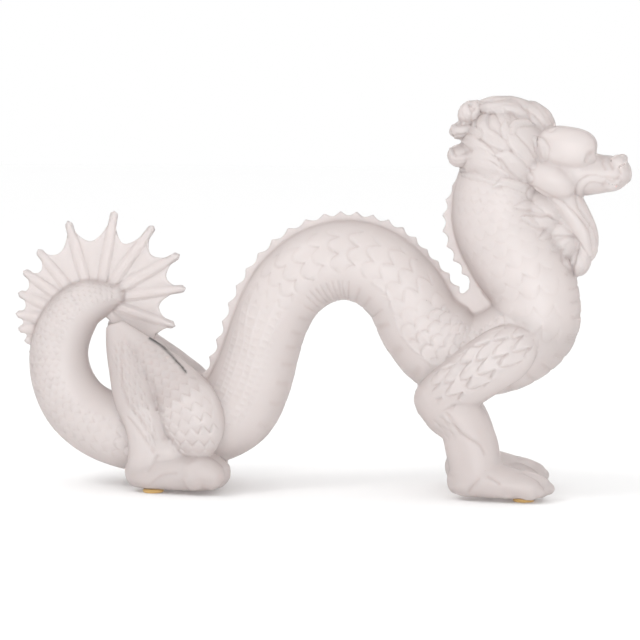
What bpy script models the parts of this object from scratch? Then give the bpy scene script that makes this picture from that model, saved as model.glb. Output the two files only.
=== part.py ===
"""Crystal dragon figurine: one cast piece of frosted crystal standing on four small foot pads.

The dragon looks along +X and its tail end is at -X. The middle plane of the figure is y = 0.
The origin is on the table, under the middle of the figure.
"""

import bpy
import bmesh
import numpy as np

# Driving sizes, in metres
LENGTH = 0.300
CREST_THICKNESS = 0.0034
CREST_TOOTH_HEIGHT = 0.0022
FAN_MEMBRANE_THICKNESS = 0.0026
FAN_RIDGE_THICKNESS = 0.0052
PAD_DIAMETER = 0.0100
PAD_THICKNESS = 0.0015
PAD_CLEARANCE = 0.0003

# The free form is measured in 300ths of the length, which are millimetres at the real size
UNIT = LENGTH / 300.0
SOLE_HEIGHT = PAD_THICKNESS + PAD_CLEARANCE

# The soles are cut flat this far above the level that all heights count from
SOLE_CUT = 1.1

# Fineness of the cast surface
VOXEL = 0.95 * UNIT
SMOOTH_FACTOR = 0.5
SMOOTH_REPEAT = 4
TRIANGLES = 9100
SHORTEST_EDGE = 0.02 * UNIT
DOME_LIFTS = (30.0, 55.0, 75.0)
PAD_SEGMENTS = 32

# Crystal and pad colours, as linear red, green, blue and alpha
CRYSTAL_COLOUR = (0.80, 0.75, 0.74, 1.0)
PAD_COLOUR = (0.62, 0.36, 0.11, 1.0)
CRYSTAL_ROUGHNESS = 0.45
CRYSTAL_TRANSMISSION = 0.5
PAD_ROUGHNESS = 0.5

# Body from the tail tip to the nape: x, height, half height, half width, crest web height
SPINE = (
    (-97.0, 94.0, 1.5, 1.5, 0.0),
    (-107.0, 91.5, 9.0, 8.5, 0.0),
    (-116.5, 87.0, 12.0, 11.5, 0.0),
    (-124.2, 77.5, 13.6, 13.0, 0.0),
    (-128.2, 63.5, 14.4, 14.0, 0.0),
    (-126.2, 50.0, 15.2, 15.0, 0.0),
    (-119.0, 37.5, 16.2, 15.5, 0.0),
    (-109.0, 30.0, 17.0, 16.0, 0.0),
    (-93.0, 25.0, 18.0, 17.0, 0.0),
    (-75.5, 24.0, 18.8, 17.5, 0.0),
    (-58.0, 28.0, 19.2, 18.0, 0.0),
    (-40.0, 38.0, 20.0, 18.5, 1.0),
    (-32.0, 53.0, 19.3, 18.0, 2.4),
    (-27.5, 67.0, 18.3, 17.5, 2.5),
    (-22.5, 82.0, 18.0, 17.0, 2.8),
    (-13.0, 98.0, 18.3, 17.5, 2.5),
    (-0.5, 107.5, 18.8, 18.0, 2.4),
    (13.0, 111.0, 19.2, 18.5, 2.4),
    (27.0, 108.0, 19.5, 19.0, 2.3),
    (41.0, 96.5, 19.6, 19.5, 1.5),
    (52.0, 78.0, 20.8, 20.5, 5.3),
    (61.0, 70.0, 22.2, 20.8, 7.0),
    (74.0, 66.0, 19.8, 21.0, 10.0),
    (91.5, 70.0, 20.8, 21.5, 10.0),
    (104.8, 82.5, 21.4, 21.0, 12.5),
    (104.2, 97.5, 21.2, 20.5, 5.4),
    (95.2, 115.0, 22.8, 19.5, 2.4),
    (87.0, 132.0, 22.0, 18.0, 3.5),
    (87.0, 145.5, 20.5, 17.0, 0.6),
    (90.0, 155.0, 18.5, 15.0, 0.0),
)

# The crest runs in two lengths that meet in the hollow behind the neck: first and last station,
# a station and the way from it to a tooth's tip, the teeth of the first pitch, and both pitches
CREST_RUNS = (
    (11, 23, 12, 1.2, 10, 9.3, 7.65),
    (22, 29, 28, -1.8, 0, 7.35, 7.35),
)
CREST_SAMPLES = 420
CREST_RINGS = 9
CREST_ROOT_SHARE = 0.5
CREST_RIM_SHARE = 0.25
CREST_EDGE_SHARE = 0.62
CREST_FULL_WEB = 2.0

# Limbs of the near side: x, y, height, half height, half width
UPPER_ARM = (
    (105.0, -17.0, 77.0, 5.0, 5.0),
    (100.0, -19.0, 74.0, 10.5, 8.5),
    (93.5, -20.5, 70.0, 13.5, 10.0),
    (85.0, -21.0, 64.5, 13.8, 10.5),
    (74.5, -20.5, 57.0, 13.5, 10.5),
    (64.5, -20.0, 50.0, 12.5, 10.5),
    (57.4, -19.5, 45.5, 10.8, 9.5),
)
FOREARM = (
    (56.8, -19.5, 48.5, 10.3, 9.0),
    (64.3, -19.5, 43.0, 12.8, 10.5),
    (73.2, -19.5, 34.0, 12.0, 11.0),
    (76.5, -19.5, 24.5, 12.8, 11.0),
    (78.0, -19.5, 17.0, 12.6, 11.0),
    (79.5, -19.5, 9.5, 13.3, 11.5),
)
FORE_FOOT = (
    (68.0, -19.5, 7.5, 5.8, 6.5),
    (72.0, -20.0, 8.2, 7.7, 9.0),
    (80.5, -20.5, 9.0, 8.9, 11.0),
    (90.0, -21.5, 8.3, 8.2, 11.5),
    (97.5, -22.0, 7.3, 7.1, 11.5),
    (104.0, -22.5, 6.0, 5.6, 10.0),
)
SHIN = (
    (-97.5, -13.5, 78.3, 4.3, 4.0),
    (-95.0, -15.0, 71.0, 6.5, 6.0),
    (-90.5, -17.0, 59.0, 9.2, 8.0),
    (-85.5, -20.0, 45.0, 11.0, 9.5),
    (-80.5, -20.5, 32.0, 10.5, 9.5),
    (-79.0, -20.0, 20.0, 10.5, 9.5),
    (-79.0, -19.5, 10.0, 11.5, 10.0),
)
THIGH = (
    (-95.5, -13.5, 78.3, 4.3, 4.0),
    (-87.5, -15.0, 71.3, 6.5, 5.5),
    (-78.0, -16.0, 62.3, 9.4, 7.5),
    (-68.0, -18.5, 51.8, 12.6, 9.5),
    (-60.0, -21.5, 41.5, 15.2, 11.0),
    (-56.5, -22.0, 30.0, 14.5, 11.0),
    (-56.5, -21.0, 22.0, 11.0, 9.0),
)
HIND_FOOT = (
    (-87.8, -19.0, 7.8, 6.6, 6.5),
    (-83.0, -19.5, 9.0, 8.2, 9.5),
    (-71.5, -20.0, 9.5, 9.0, 11.0),
    (-60.0, -20.5, 9.5, 9.2, 11.5),
    (-51.0, -20.5, 9.3, 9.2, 11.0),
    (-47.0, -20.5, 8.0, 7.8, 9.5),
)

# Toes of the near side: root x, y, height, tip x, y, height, radius
FORE_TOES = (
    (94.0, -28.5, 5.6, 105.0, -29.0, 4.3, 4.8),
    (96.0, -22.0, 7.0, 109.3, -22.5, 5.4, 5.3),
    (94.0, -15.0, 5.8, 105.5, -15.0, 4.6, 4.8),
)
HIND_TOES = (
    (-58.0, -27.5, 7.0, -47.5, -28.0, 4.6, 5.4),
    (-56.0, -21.0, 8.0, -44.6, -21.5, 5.4, 6.4),
    (-58.0, -14.5, 7.0, -48.0, -14.0, 4.6, 5.4),
)
KNUCKLE_RISE = 0.25
TOE_TIP_SHARE = 0.8
NAIL_LENGTH = 4.6
NAIL_HEIGHT = 3.4
NAIL_WIDTH = 3.4
NAIL_REACH = 1.8
NAIL_DROP = 0.2
NAIL_ANGLE = -12.0

# The far limbs stand further back: top height and its setback, bottom height and its setback
FAR_FORE_LIMB_SETBACK = (77.0, 0.0, 45.5, 5.0)
FAR_SHIN_SETBACK = (78.0, 5.0, 10.0, 8.0)
FAR_HAUNCH_SETBACK = (78.0, 5.0, 50.0, 9.0)

# Pads under the toes of the fore feet and the heels of the hind feet: name, x, y
PADS = (
    ("foot_pad_front_left", 101.5, 22.0),
    ("foot_pad_front_right", 101.5, -22.0),
    ("foot_pad_rear_left", -77.5, 20.0),
    ("foot_pad_rear_right", -77.5, -20.0),
)

# Head: x, y, height, half height, half width
MUZZLE = (
    (112.0, 0.0, 154.5, 12.5, 13.0),
    (123.0, 0.0, 154.0, 11.8, 12.5),
    (131.0, 0.0, 153.5, 10.2, 11.5),
    (137.0, 0.0, 153.5, 9.0, 10.5),
    (142.5, 0.0, 154.0, 8.2, 9.5),
    (146.0, 0.0, 155.0, 6.5, 8.0),
)
LOWER_JAW = (
    (113.5, 0.0, 148.0, 8.0, 12.0),
    (119.5, 0.0, 140.0, 7.5, 11.0),
    (124.5, 0.0, 131.5, 7.0, 10.0),
    (128.0, 0.0, 123.0, 6.5, 9.0),
    (128.5, 0.0, 115.0, 5.3, 8.0),
)
LIP = (
    (145.0, -8.5, 151.0, 1.7, 1.7),
    (134.5, -11.0, 150.0, 1.7, 1.7),
    (125.5, -12.5, 149.0, 1.9, 1.9),
    (120.5, -12.5, 142.5, 1.9, 1.9),
    (122.5, -11.0, 132.5, 1.7, 1.7),
    (129.5, -9.0, 120.0, 1.7, 1.7),
    (131.0, -8.0, 113.5, 1.6, 1.6),
)

# Rounded masses: centre x, y, height, half length, half width, half height, nose-up angle
SKULL = (90.0, 0.0, 164.0, 21.5, 18.5, 21.5, 0.0)
BEARD = (115.5, 0.0, 124.0, 12.5, 9.5, 14.5, -15.0)
PAIRED_MASSES = (
    (117.0, -7.0, 166.2, 16.4, 8.5, 9.6, -14.0),
    (108.5, -10.0, 151.0, 13.0, 6.0, 7.0, -28.0),
    (129.5, -9.0, 162.0, 3.0, 3.0, 3.0, 0.0),
    (143.5, -5.0, 158.5, 4.3, 3.5, 4.0, 0.0),
    (146.0, -3.0, 155.0, 3.6, 3.6, 4.0, 0.0),
    (140.5, -6.0, 149.5, 4.0, 3.0, 3.6, 0.0),
    (104.5, -14.0, 168.5, 5.5, 2.6, 3.4, 60.0),
)

# Locks of the near side: root x, height, middle x, height, tip x, height, radius
MANE_LOCKS = (
    (108.5, 172.5, 105.0, 181.0, 99.0, 185.0, 3.6),
    (106.5, 175.5, 99.0, 184.0, 88.5, 188.5, 3.9),
    (102.5, 176.5, 92.5, 184.5, 81.5, 189.0, 3.9),
    (99.0, 178.0, 85.0, 184.5, 73.0, 186.0, 4.6),
    (98.5, 172.0, 83.5, 179.0, 70.5, 181.5, 4.2),
    (95.0, 169.5, 78.0, 177.0, 66.0, 176.5, 5.0),
    (96.5, 165.0, 81.0, 172.0, 66.5, 170.5, 4.4),
    (97.5, 160.0, 81.0, 167.0, 67.0, 165.0, 4.0),
    (95.5, 156.5, 78.5, 161.5, 64.5, 162.0, 4.8),
    (97.5, 153.5, 83.5, 157.5, 67.5, 156.0, 4.2),
    (100.0, 148.5, 88.0, 153.5, 72.5, 153.0, 4.2),
    (102.5, 146.0, 93.0, 150.5, 84.0, 147.0, 2.8),
)
LOCK_ROOT_DEPTH = 0.4
LOCK_ROOT_SHARE = 0.8
LOCK_TIP_SHARE = 0.65
BEARD_LOCKS = (
    (111.0, 140.0, 102.5, 138.0, 94.0, 138.0, 3.0),
    (116.0, 134.0, 107.5, 132.5, 99.0, 131.5, 3.0),
    (120.0, 126.0, 112.5, 126.0, 105.0, 123.0, 3.0),
    (124.0, 120.0, 118.5, 119.5, 111.5, 118.0, 3.0),
    (124.5, 122.5, 124.5, 112.0, 121.5, 105.5, 3.6),
    (127.0, 120.0, 128.6, 112.0, 128.2, 105.3, 2.7),
    (127.0, 125.0, 131.2, 119.5, 130.6, 114.5, 2.6),
)

# Rays of the tail fan: tip x, height, base x, height, depth of the scallop before the next ray
FAN_RAYS = (
    (-143.5, 64.0, -134.0, 66.5, 2.6),
    (-145.8, 69.5, -132.5, 71.0, 3.2),
    (-149.0, 75.3, -131.0, 75.0, 3.6),
    (-150.0, 83.0, -129.5, 79.0, 5.0),
    (-148.7, 93.3, -127.0, 84.0, 5.2),
    (-146.0, 104.2, -123.0, 88.0, 7.8),
    (-138.7, 114.7, -119.0, 91.0, 9.3),
    (-123.2, 128.8, -113.0, 94.0, 12.5),
    (-99.7, 134.1, -107.0, 95.0, 14.0),
    (-80.3, 127.0, -104.5, 94.0, 11.0),
    (-67.5, 113.0, -103.0, 92.5, 9.0),
    (-64.5, 96.4, -103.0, 91.0, 10.9),
    (-69.8, 77.7, -104.5, 89.0, 5.5),
    (-81.0, 62.0, -106.5, 87.0, 0.0),
)
FAN_RAY_TIP_RADIUS = 2.1
FAN_RAY_BASE_RADIUS = 2.4
FAN_RAY_TIP_SHARE = 0.7
FAN_SCALLOP_POWER = 0.55
FAN_STEPS_PER_RAY = 10
FAN_RINGS = 14


def spline(rows, samples):
    """Smooth curve through the rows: cubic Hermite pieces over the chord length of x, y and z."""
    rows = np.asarray(rows, dtype=float)
    chords = np.linalg.norm(np.diff(rows[:, :3], axis=0), axis=1)
    knots = np.concatenate(([0.0], np.cumsum(chords)))
    slopes = np.gradient(rows, knots, axis=0)
    places = np.linspace(0.0, knots[-1], samples)
    cell = np.clip(np.searchsorted(knots, places, side="right") - 1, 0, len(knots) - 2)
    span = (knots[cell + 1] - knots[cell])[:, None]
    t = (places - knots[cell])[:, None] / span
    start = (1.0 + 2.0 * t) * (1.0 - t) ** 2 * rows[cell]
    end = t ** 2 * (3.0 - 2.0 * t) * rows[cell + 1]
    leave = t * (1.0 - t) ** 2 * span * slopes[cell]
    arrive = t ** 2 * (t - 1.0) * span * slopes[cell + 1]
    return start + end + leave + arrive


def unit(vectors):
    """Each row divided by its own length."""
    return vectors / np.linalg.norm(vectors, axis=1, keepdims=True)


def axes_along(centre):
    """Heading, side and back directions of a path that keeps its side level along +Y."""
    heading = unit(np.gradient(centre, axis=0))
    side = np.array([0.0, 1.0, 0.0]) - heading * heading[:, 1:2]
    side = unit(side)
    return heading, side, np.cross(heading, side)


def grid_faces(rings, around):
    """Quads between neighbouring closed rings, and a fan to a pole at each end."""
    faces = []
    for ring in range(rings - 1):
        for step in range(around):
            a = ring * around + step
            b = ring * around + (step + 1) % around
            faces.append((a, a + around, b + around, b))
    first_pole = rings * around
    last_pole = first_pole + 1
    last = (rings - 1) * around
    for step in range(around):
        after = (step + 1) % around
        faces.append((first_pole, step, after))
        faces.append((last_pole, last + after, last + step))
    return faces


def tube(rows, along=40, around=28, dome=0.5):
    """Closed form carried along a path: an ellipse across it at each station, with domed ends."""
    path = spline(rows, along)
    centre = path[:, :3]
    half = path[:, 3:5]
    heading, side, back = axes_along(centre)
    centres = [centre]
    halves = [half]
    sides = [side]
    backs = [back]
    for end, direction in ((0, -1.0), (-1, 1.0)):
        lift = np.radians(DOME_LIFTS)
        reach = dome * half[end].min() * np.sin(lift)
        cap = centre[end] + direction * heading[end] * reach[:, None]
        shrink = half[end] * np.cos(lift)[:, None]
        order = slice(None, None, -1) if end == 0 else slice(None)
        place = 0 if end == 0 else len(centres)
        centres.insert(place, cap[order])
        halves.insert(place, shrink[order])
        sides.insert(place, np.repeat(side[end][None], len(lift), axis=0))
        backs.insert(place, np.repeat(back[end][None], len(lift), axis=0))
    centre_all = np.vstack(centres)
    half_all = np.vstack(halves)
    side_all = np.vstack(sides)
    back_all = np.vstack(backs)
    turn = np.linspace(0.0, 2.0 * np.pi, around, endpoint=False)
    up = back_all[:, None, :] * (half_all[:, 0:1] * np.cos(turn))[:, :, None]
    out = side_all[:, None, :] * (half_all[:, 1:2] * np.sin(turn))[:, :, None]
    rings = centre_all[:, None, :] + up + out
    first_pole = centre[0] - heading[0] * dome * half[0].min()
    last_pole = centre[-1] + heading[-1] * dome * half[-1].min()
    points = np.vstack((rings.reshape(-1, 3), first_pole, last_pole))
    return points, grid_faces(len(centre_all), around)


def ellipsoid(mass, rings=15, around=24):
    """Rounded mass about its centre, turned nose up by its angle in the middle plane."""
    x, y, z, long, wide, high, angle = mass
    tilt = np.radians(angle)
    polar = np.linspace(0.0, np.pi, rings + 2)[1:-1]
    turn = np.linspace(0.0, 2.0 * np.pi, around, endpoint=False)
    ahead = -long * np.cos(polar)[:, None] * np.ones(around)
    up = high * np.sin(polar)[:, None] * np.cos(turn)
    out = wide * np.sin(polar)[:, None] * np.sin(turn)
    local = np.stack((ahead, out, up), axis=2).reshape(-1, 3)
    local = np.vstack((local, (-long, 0.0, 0.0), (long, 0.0, 0.0)))
    points = np.empty_like(local)
    points[:, 0] = x + local[:, 0] * np.cos(tilt) - local[:, 2] * np.sin(tilt)
    points[:, 1] = y + local[:, 1]
    points[:, 2] = z + local[:, 0] * np.sin(tilt) + local[:, 2] * np.cos(tilt)
    return points, grid_faces(rings, around)


def side_of_mass(x, z, mass, least):
    """Distance from the middle plane to a rounded mass at x and z, never under the least one."""
    inside = 1.0 - ((x - mass[0]) / mass[3]) ** 2 - ((z - mass[2]) / mass[5]) ** 2
    return max(mass[4] * np.sqrt(max(inside, 0.0)), least)


def lock(row, mass):
    """Lock of hair lying on a mass: a tapered tube through its root, middle and tip."""
    radius = row[6]
    root_y = side_of_mass(row[0], row[1], mass, radius)
    middle_y = side_of_mass(row[2], row[3], mass, radius)
    tip_y = side_of_mass(row[4], row[5], mass, radius)
    root = LOCK_ROOT_SHARE * radius
    tip = LOCK_TIP_SHARE * radius
    rows = (
        (row[0], -root_y + LOCK_ROOT_DEPTH * radius, row[1], root, root),
        (row[2], -middle_y, row[3], radius, radius),
        (row[4], -tip_y, row[5], tip, tip),
    )
    return tube(rows, along=14, around=14, dome=0.9)


def plate(front, half_thickness):
    """Closed plate in the middle plane: a grid of x and height with its own half thickness."""
    across, along = half_thickness.shape
    near = np.stack((front[..., 0], -half_thickness, front[..., 1]), axis=2)
    far = np.stack((front[..., 0], half_thickness, front[..., 1]), axis=2)
    points = np.vstack((near.reshape(-1, 3), far.reshape(-1, 3)))
    count = across * along
    faces = []
    for i in range(across - 1):
        for j in range(along - 1):
            a = i * along + j
            b = a + along
            faces.append((a, b, b + 1, a + 1))
            faces.append((count + a, count + a + 1, count + b + 1, count + b))
    low = list(range(along))
    right = [i * along + along - 1 for i in range(1, across)]
    high = [(across - 1) * along + j for j in range(along - 2, -1, -1)]
    left = [i * along for i in range(across - 2, 0, -1)]
    border = low + right + high + left
    for a, b in zip(border, border[1:] + border[:1]):
        faces.append((a, b, count + b, count + a))
    return points, faces


def crest(first, last, tooth_station, tooth_offset, first_teeth, first_pitch, later_pitch):
    """Thin saw-toothed web over the back, between two stations of the body."""
    rows = [(x, 0.0, z, half, web) for x, z, half, wide, web in SPINE[first:last + 1]]
    path = spline(rows, CREST_SAMPLES)
    centre = path[:, :3]
    heading, side, back = axes_along(centre)
    valley = centre + back * (path[:, 3:4] + path[:, 4:5])
    travelled = np.concatenate(([0.0], np.cumsum(np.linalg.norm(np.diff(valley, axis=0), axis=1))))
    station = np.array((SPINE[tooth_station][0], 0.0, SPINE[tooth_station][1]))
    from_tip = travelled - travelled[np.argmin(np.linalg.norm(centre - station, axis=1))] - tooth_offset
    change = first_teeth * first_pitch
    phase = np.minimum(from_tip, change) / first_pitch + np.maximum(from_tip - change, 0.0) / later_pitch
    fade = np.clip(path[:, 4] / CREST_FULL_WEB, 0.0, 1.0)
    tooth = CREST_TOOTH_HEIGHT / UNIT * fade * (1.0 - np.abs(np.sin(np.pi * phase)))
    edge = valley + back * tooth[:, None]
    root = centre + back * CREST_ROOT_SHARE * path[:, 3:4]
    share = np.linspace(0.0, 1.0, CREST_RINGS)
    grid = root[:, None, :] + (edge - root)[:, None, :] * share[None, :, None]
    inward = np.clip((1.0 - share) / CREST_RIM_SHARE, 0.0, 1.0)
    half = 0.5 * CREST_THICKNESS / UNIT * (CREST_EDGE_SHARE + (1.0 - CREST_EDGE_SHARE) * inward)
    return plate(grid[..., [0, 2]], np.repeat(half[None], CREST_SAMPLES, axis=0))


def fan_membrane():
    """Thin plate of the tail fan, its edge scalloped between the tips of the rays."""
    rays = np.asarray(FAN_RAYS)
    gaps = len(rays) - 1
    place = np.linspace(0.0, gaps, gaps * FAN_STEPS_PER_RAY + 1)
    cell = np.clip(place.astype(int), 0, gaps - 1)
    share = (place - cell)[:, None]
    ends = rays[cell] * (1.0 - share) + rays[cell + 1] * share
    between = np.abs(np.sin(np.pi * share[:, 0]))
    run = np.linalg.norm(ends[:, 0:2] - ends[:, 2:4], axis=1)
    reach = 1.0 - rays[cell, 4] / run * between ** FAN_SCALLOP_POWER
    rings = np.linspace(0.0, 1.0, FAN_RINGS)
    tips = ends[:, None, 0:2]
    bases = ends[:, None, 2:4]
    grid = bases + (tips - bases) * (reach[:, None] * rings)[..., None]
    half = np.full(grid.shape[:2], 0.5 * FAN_MEMBRANE_THICKNESS / UNIT)
    return plate(grid, half)


def fan_rays():
    """Raised round rays of the tail fan, each a tapered rod with a blunt tip."""
    forms = []
    wide = 0.5 * FAN_RIDGE_THICKNESS / UNIT
    for tip_x, tip_z, base_x, base_z, scallop in FAN_RAYS:
        run = np.hypot(tip_x - base_x, tip_z - base_z)
        keep = 1.0 - FAN_RAY_TIP_RADIUS / run
        rows = (
            (base_x, 0.0, base_z, FAN_RAY_BASE_RADIUS, wide),
            (0.5 * (base_x + tip_x), 0.0, 0.5 * (base_z + tip_z), FAN_RAY_BASE_RADIUS, wide),
            (base_x + keep * (tip_x - base_x), 0.0, base_z + keep * (tip_z - base_z),
             FAN_RAY_TIP_RADIUS, FAN_RAY_TIP_SHARE * wide),
        )
        forms.append(tube(rows, along=12, around=14, dome=1.0))
    return forms


def digits(toes):
    """Toes of one foot, each a short tube that ends in a rounded nail."""
    forms = []
    for x0, y0, z0, x1, y1, z1, radius in toes:
        knuckle_z = 0.5 * (z0 + z1) + KNUCKLE_RISE * radius
        tip = TOE_TIP_SHARE * radius
        rows = (
            (x0, y0, z0, radius, radius),
            (0.5 * (x0 + x1), 0.5 * (y0 + y1), knuckle_z, radius, radius),
            (x1, y1, z1, tip, tip),
        )
        forms.append(tube(rows, along=12, around=18, dome=0.8))
        centre = (x1 + NAIL_REACH, y1, z1 - NAIL_DROP)
        size = (NAIL_LENGTH, NAIL_WIDTH, NAIL_HEIGHT, NAIL_ANGLE)
        forms.append(ellipsoid(centre + size, rings=9, around=16))
    return forms


def set_back(form, top, top_distance, bottom, bottom_distance):
    """The same closed form, drawn back towards the tail, more so the lower it is."""
    points, faces = form
    moved = points.copy()
    share = np.clip((top - moved[:, 2]) / (top - bottom), 0.0, 1.0)
    moved[:, 0] -= top_distance + (bottom_distance - top_distance) * share
    return moved, faces


def mirrored(form):
    """The same closed form on the other side of the middle plane."""
    points, faces = form
    return points * np.array([1.0, -1.0, 1.0]), [tuple(reversed(face)) for face in faces]


def middle_forms():
    """Forms that lie across the middle plane: body, skull, jaws, beard, crest and fan."""
    body = [(x, 0.0, z, half, wide) for x, z, half, wide, web in SPINE]
    forms = [
        tube(body, along=220, around=44, dome=0.9),
        ellipsoid(SKULL, rings=21, around=32),
        ellipsoid(BEARD, rings=15, around=24),
        tube(MUZZLE, along=30, dome=0.6),
        tube(LOWER_JAW, along=30, dome=0.6),
        fan_membrane(),
    ]
    forms += [crest(*run) for run in CREST_RUNS]
    return forms + fan_rays()


def near_fore_limb():
    """Upper arm, forearm, fore foot and its toes on the near side."""
    return [tube(rows) for rows in (UPPER_ARM, FOREARM, FORE_FOOT)] + digits(FORE_TOES)


def near_shin():
    """Shin, hind foot and its toes on the near side."""
    return [tube(rows) for rows in (SHIN, HIND_FOOT)] + digits(HIND_TOES)


def near_head():
    """Brow, cheek, eye, nostrils, ear, lip, mane and beard of the near side."""
    forms = [ellipsoid(mass) for mass in PAIRED_MASSES]
    forms.append(tube(LIP, along=60, around=12, dome=0.9))
    forms += [lock(row, SKULL) for row in MANE_LOCKS]
    forms += [lock(row, BEARD) for row in BEARD_LOCKS]
    return forms


def clear_scene():
    """Remove whatever the new file holds."""
    for obj in list(bpy.data.objects):
        bpy.data.objects.remove(obj, do_unlink=True)


def finish(name, colour, roughness, transmission):
    """Principled material with one plain colour."""
    material = bpy.data.materials.new(name)
    material.use_nodes = True
    shader = material.node_tree.nodes["Principled BSDF"]
    shader.inputs["Base Color"].default_value = colour
    shader.inputs["Roughness"].default_value = roughness
    shader.inputs["Metallic"].default_value = 0.0
    shader.inputs["Transmission Weight"].default_value = transmission
    material.diffuse_color = colour
    return material


def add_object(name, mesh, material):
    """Put a mesh into the scene under its own name, with its material."""
    mesh.materials.append(material)
    obj = bpy.data.objects.new(name, mesh)
    bpy.context.scene.collection.objects.link(obj)
    return obj


def mesh_from_forms(name, forms):
    """One mesh that holds every closed form, in metres over the soles."""
    points = []
    faces = []
    start = 0
    for form_points, form_faces in forms:
        points.append(form_points)
        faces += [tuple(index + start for index in face) for face in form_faces]
        start += len(form_points)
    metres = np.vstack(points) * UNIT
    metres[:, 2] += SOLE_HEIGHT - SOLE_CUT * UNIT
    mesh = bpy.data.meshes.new(name)
    mesh.from_pydata(metres.tolist(), [], faces)
    return mesh


def evaluated_mesh(obj):
    """Mesh of the object with its modifiers carried out."""
    graph = bpy.context.evaluated_depsgraph_get()
    return bpy.data.meshes.new_from_object(obj.evaluated_get(graph))


def flatten_soles(mesh):
    """Cut the feet flat at the height of the soles and close the cuts."""
    work = bmesh.new()
    work.from_mesh(mesh)
    everything = work.verts[:] + work.edges[:] + work.faces[:]
    bmesh.ops.bisect_plane(
        work, geom=everything, plane_co=(0.0, 0.0, SOLE_HEIGHT), plane_no=(0.0, 0.0, 1.0),
        clear_inner=True)
    border = [edge for edge in work.edges if edge.is_boundary]
    bmesh.ops.triangle_fill(work, edges=border, use_beauty=True, normal=(0.0, 0.0, -1.0))
    bmesh.ops.dissolve_degenerate(work, dist=SHORTEST_EDGE, edges=work.edges[:])
    bmesh.ops.triangulate(work, faces=work.faces[:])
    bmesh.ops.recalc_face_normals(work, faces=work.faces[:])
    work.to_mesh(mesh)
    work.free()


def cast_dragon():
    """Join all forms into one skin, as they run together in a casting, and thin its triangles."""
    near = near_head() + near_fore_limb() + near_shin() + [tube(THIGH)]
    far = near_head()
    far += [set_back(form, *FAR_FORE_LIMB_SETBACK) for form in near_fore_limb()]
    far += [set_back(form, *FAR_SHIN_SETBACK) for form in near_shin()]
    far.append(set_back(tube(THIGH), *FAR_HAUNCH_SETBACK))
    forms = middle_forms() + near + [mirrored(form) for form in far]
    draft = bpy.data.objects.new("draft", mesh_from_forms("draft", forms))
    bpy.context.scene.collection.objects.link(draft)
    skin = draft.modifiers.new("skin", "REMESH")
    skin.mode = "VOXEL"
    skin.voxel_size = VOXEL
    soften = draft.modifiers.new("soften", "SMOOTH")
    soften.factor = SMOOTH_FACTOR
    soften.iterations = SMOOTH_REPEAT
    skin_mesh = evaluated_mesh(draft)
    thin = draft.modifiers.new("thin", "DECIMATE")
    thin.ratio = TRIANGLES / (2.0 * len(skin_mesh.polygons))
    mesh = evaluated_mesh(draft)
    bpy.data.objects.remove(draft, do_unlink=True)
    flatten_soles(mesh)
    mesh.name = "dragon"
    mesh.shade_smooth()
    return mesh


def pad_mesh(name):
    """Round pad about its own axis, standing on z = 0."""
    mesh = bpy.data.meshes.new(name)
    work = bmesh.new()
    radius = 0.5 * PAD_DIAMETER
    bmesh.ops.create_cone(
        work, cap_ends=True, segments=PAD_SEGMENTS, radius1=radius, radius2=radius,
        depth=PAD_THICKNESS)
    bmesh.ops.translate(work, verts=work.verts[:], vec=(0.0, 0.0, 0.5 * PAD_THICKNESS))
    work.to_mesh(mesh)
    work.free()
    return mesh


def main():
    clear_scene()
    crystal = finish("frosted crystal", CRYSTAL_COLOUR, CRYSTAL_ROUGHNESS, CRYSTAL_TRANSMISSION)
    rubber = finish("amber pad", PAD_COLOUR, PAD_ROUGHNESS, 0.0)
    add_object("dragon", cast_dragon(), crystal)
    for name, x, y in PADS:
        pad = add_object(name, pad_mesh(name), rubber)
        pad.location = (x * UNIT, y * UNIT, 0.0)


main()
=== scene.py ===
# %% [markdown]
# # Crystal dragon figurine
#
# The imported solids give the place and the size. This script gives the looks: one cast skin of
# frosted crystal that stands for the solid `dragon`, and four amber pads that stand for theirs.
# All free form is in millimetres of the real size, and `UNIT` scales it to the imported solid. The
# dragon looks along +X and its middle plane is y = 0.

import bpy
import bmesh
import numpy as np
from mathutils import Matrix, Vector


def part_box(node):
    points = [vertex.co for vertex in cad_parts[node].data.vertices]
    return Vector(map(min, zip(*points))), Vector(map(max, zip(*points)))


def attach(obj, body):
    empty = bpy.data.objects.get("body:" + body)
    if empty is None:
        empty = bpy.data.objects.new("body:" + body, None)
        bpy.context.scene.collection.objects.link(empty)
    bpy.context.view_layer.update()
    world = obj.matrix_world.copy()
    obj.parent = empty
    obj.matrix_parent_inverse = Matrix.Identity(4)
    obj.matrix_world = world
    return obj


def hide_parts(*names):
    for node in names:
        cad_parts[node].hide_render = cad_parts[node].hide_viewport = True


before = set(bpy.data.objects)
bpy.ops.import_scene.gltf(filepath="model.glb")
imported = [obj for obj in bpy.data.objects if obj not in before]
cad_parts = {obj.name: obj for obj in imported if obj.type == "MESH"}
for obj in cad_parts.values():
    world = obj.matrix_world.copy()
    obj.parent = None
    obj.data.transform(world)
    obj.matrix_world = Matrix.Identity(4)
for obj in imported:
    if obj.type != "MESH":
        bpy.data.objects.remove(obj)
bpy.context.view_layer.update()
dragon_low, dragon_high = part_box("dragon")
# The dragon's length from the tail fan to the nose, in millimetres
DRAGON_LENGTH = 299.8
UNIT = (dragon_high.x - dragon_low.x) / DRAGON_LENGTH
SOLE_HEIGHT = dragon_low.z
print("dragon's length", round(dragon_high.x - dragon_low.x, 4), "unit", round(UNIT, 6))
print("soles are", round(SOLE_HEIGHT * 1000.0, 2), "mm over the table")


# %% [markdown]
# ## Named sizes
#
# The tables hold the stations of each form, as read from the photograph: a few places along the
# body and the limbs, each with its half height and half width.

# %% Sizes and tables
CREST_THICKNESS = 2.6
CREST_TOOTH_HEIGHT = 2.2
FAN_MEMBRANE_THICKNESS = 2.0
FAN_RIDGE_THICKNESS = 3.6

# The soles are cut flat this far above the level that all heights count from
SOLE_CUT = 1.1

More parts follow.
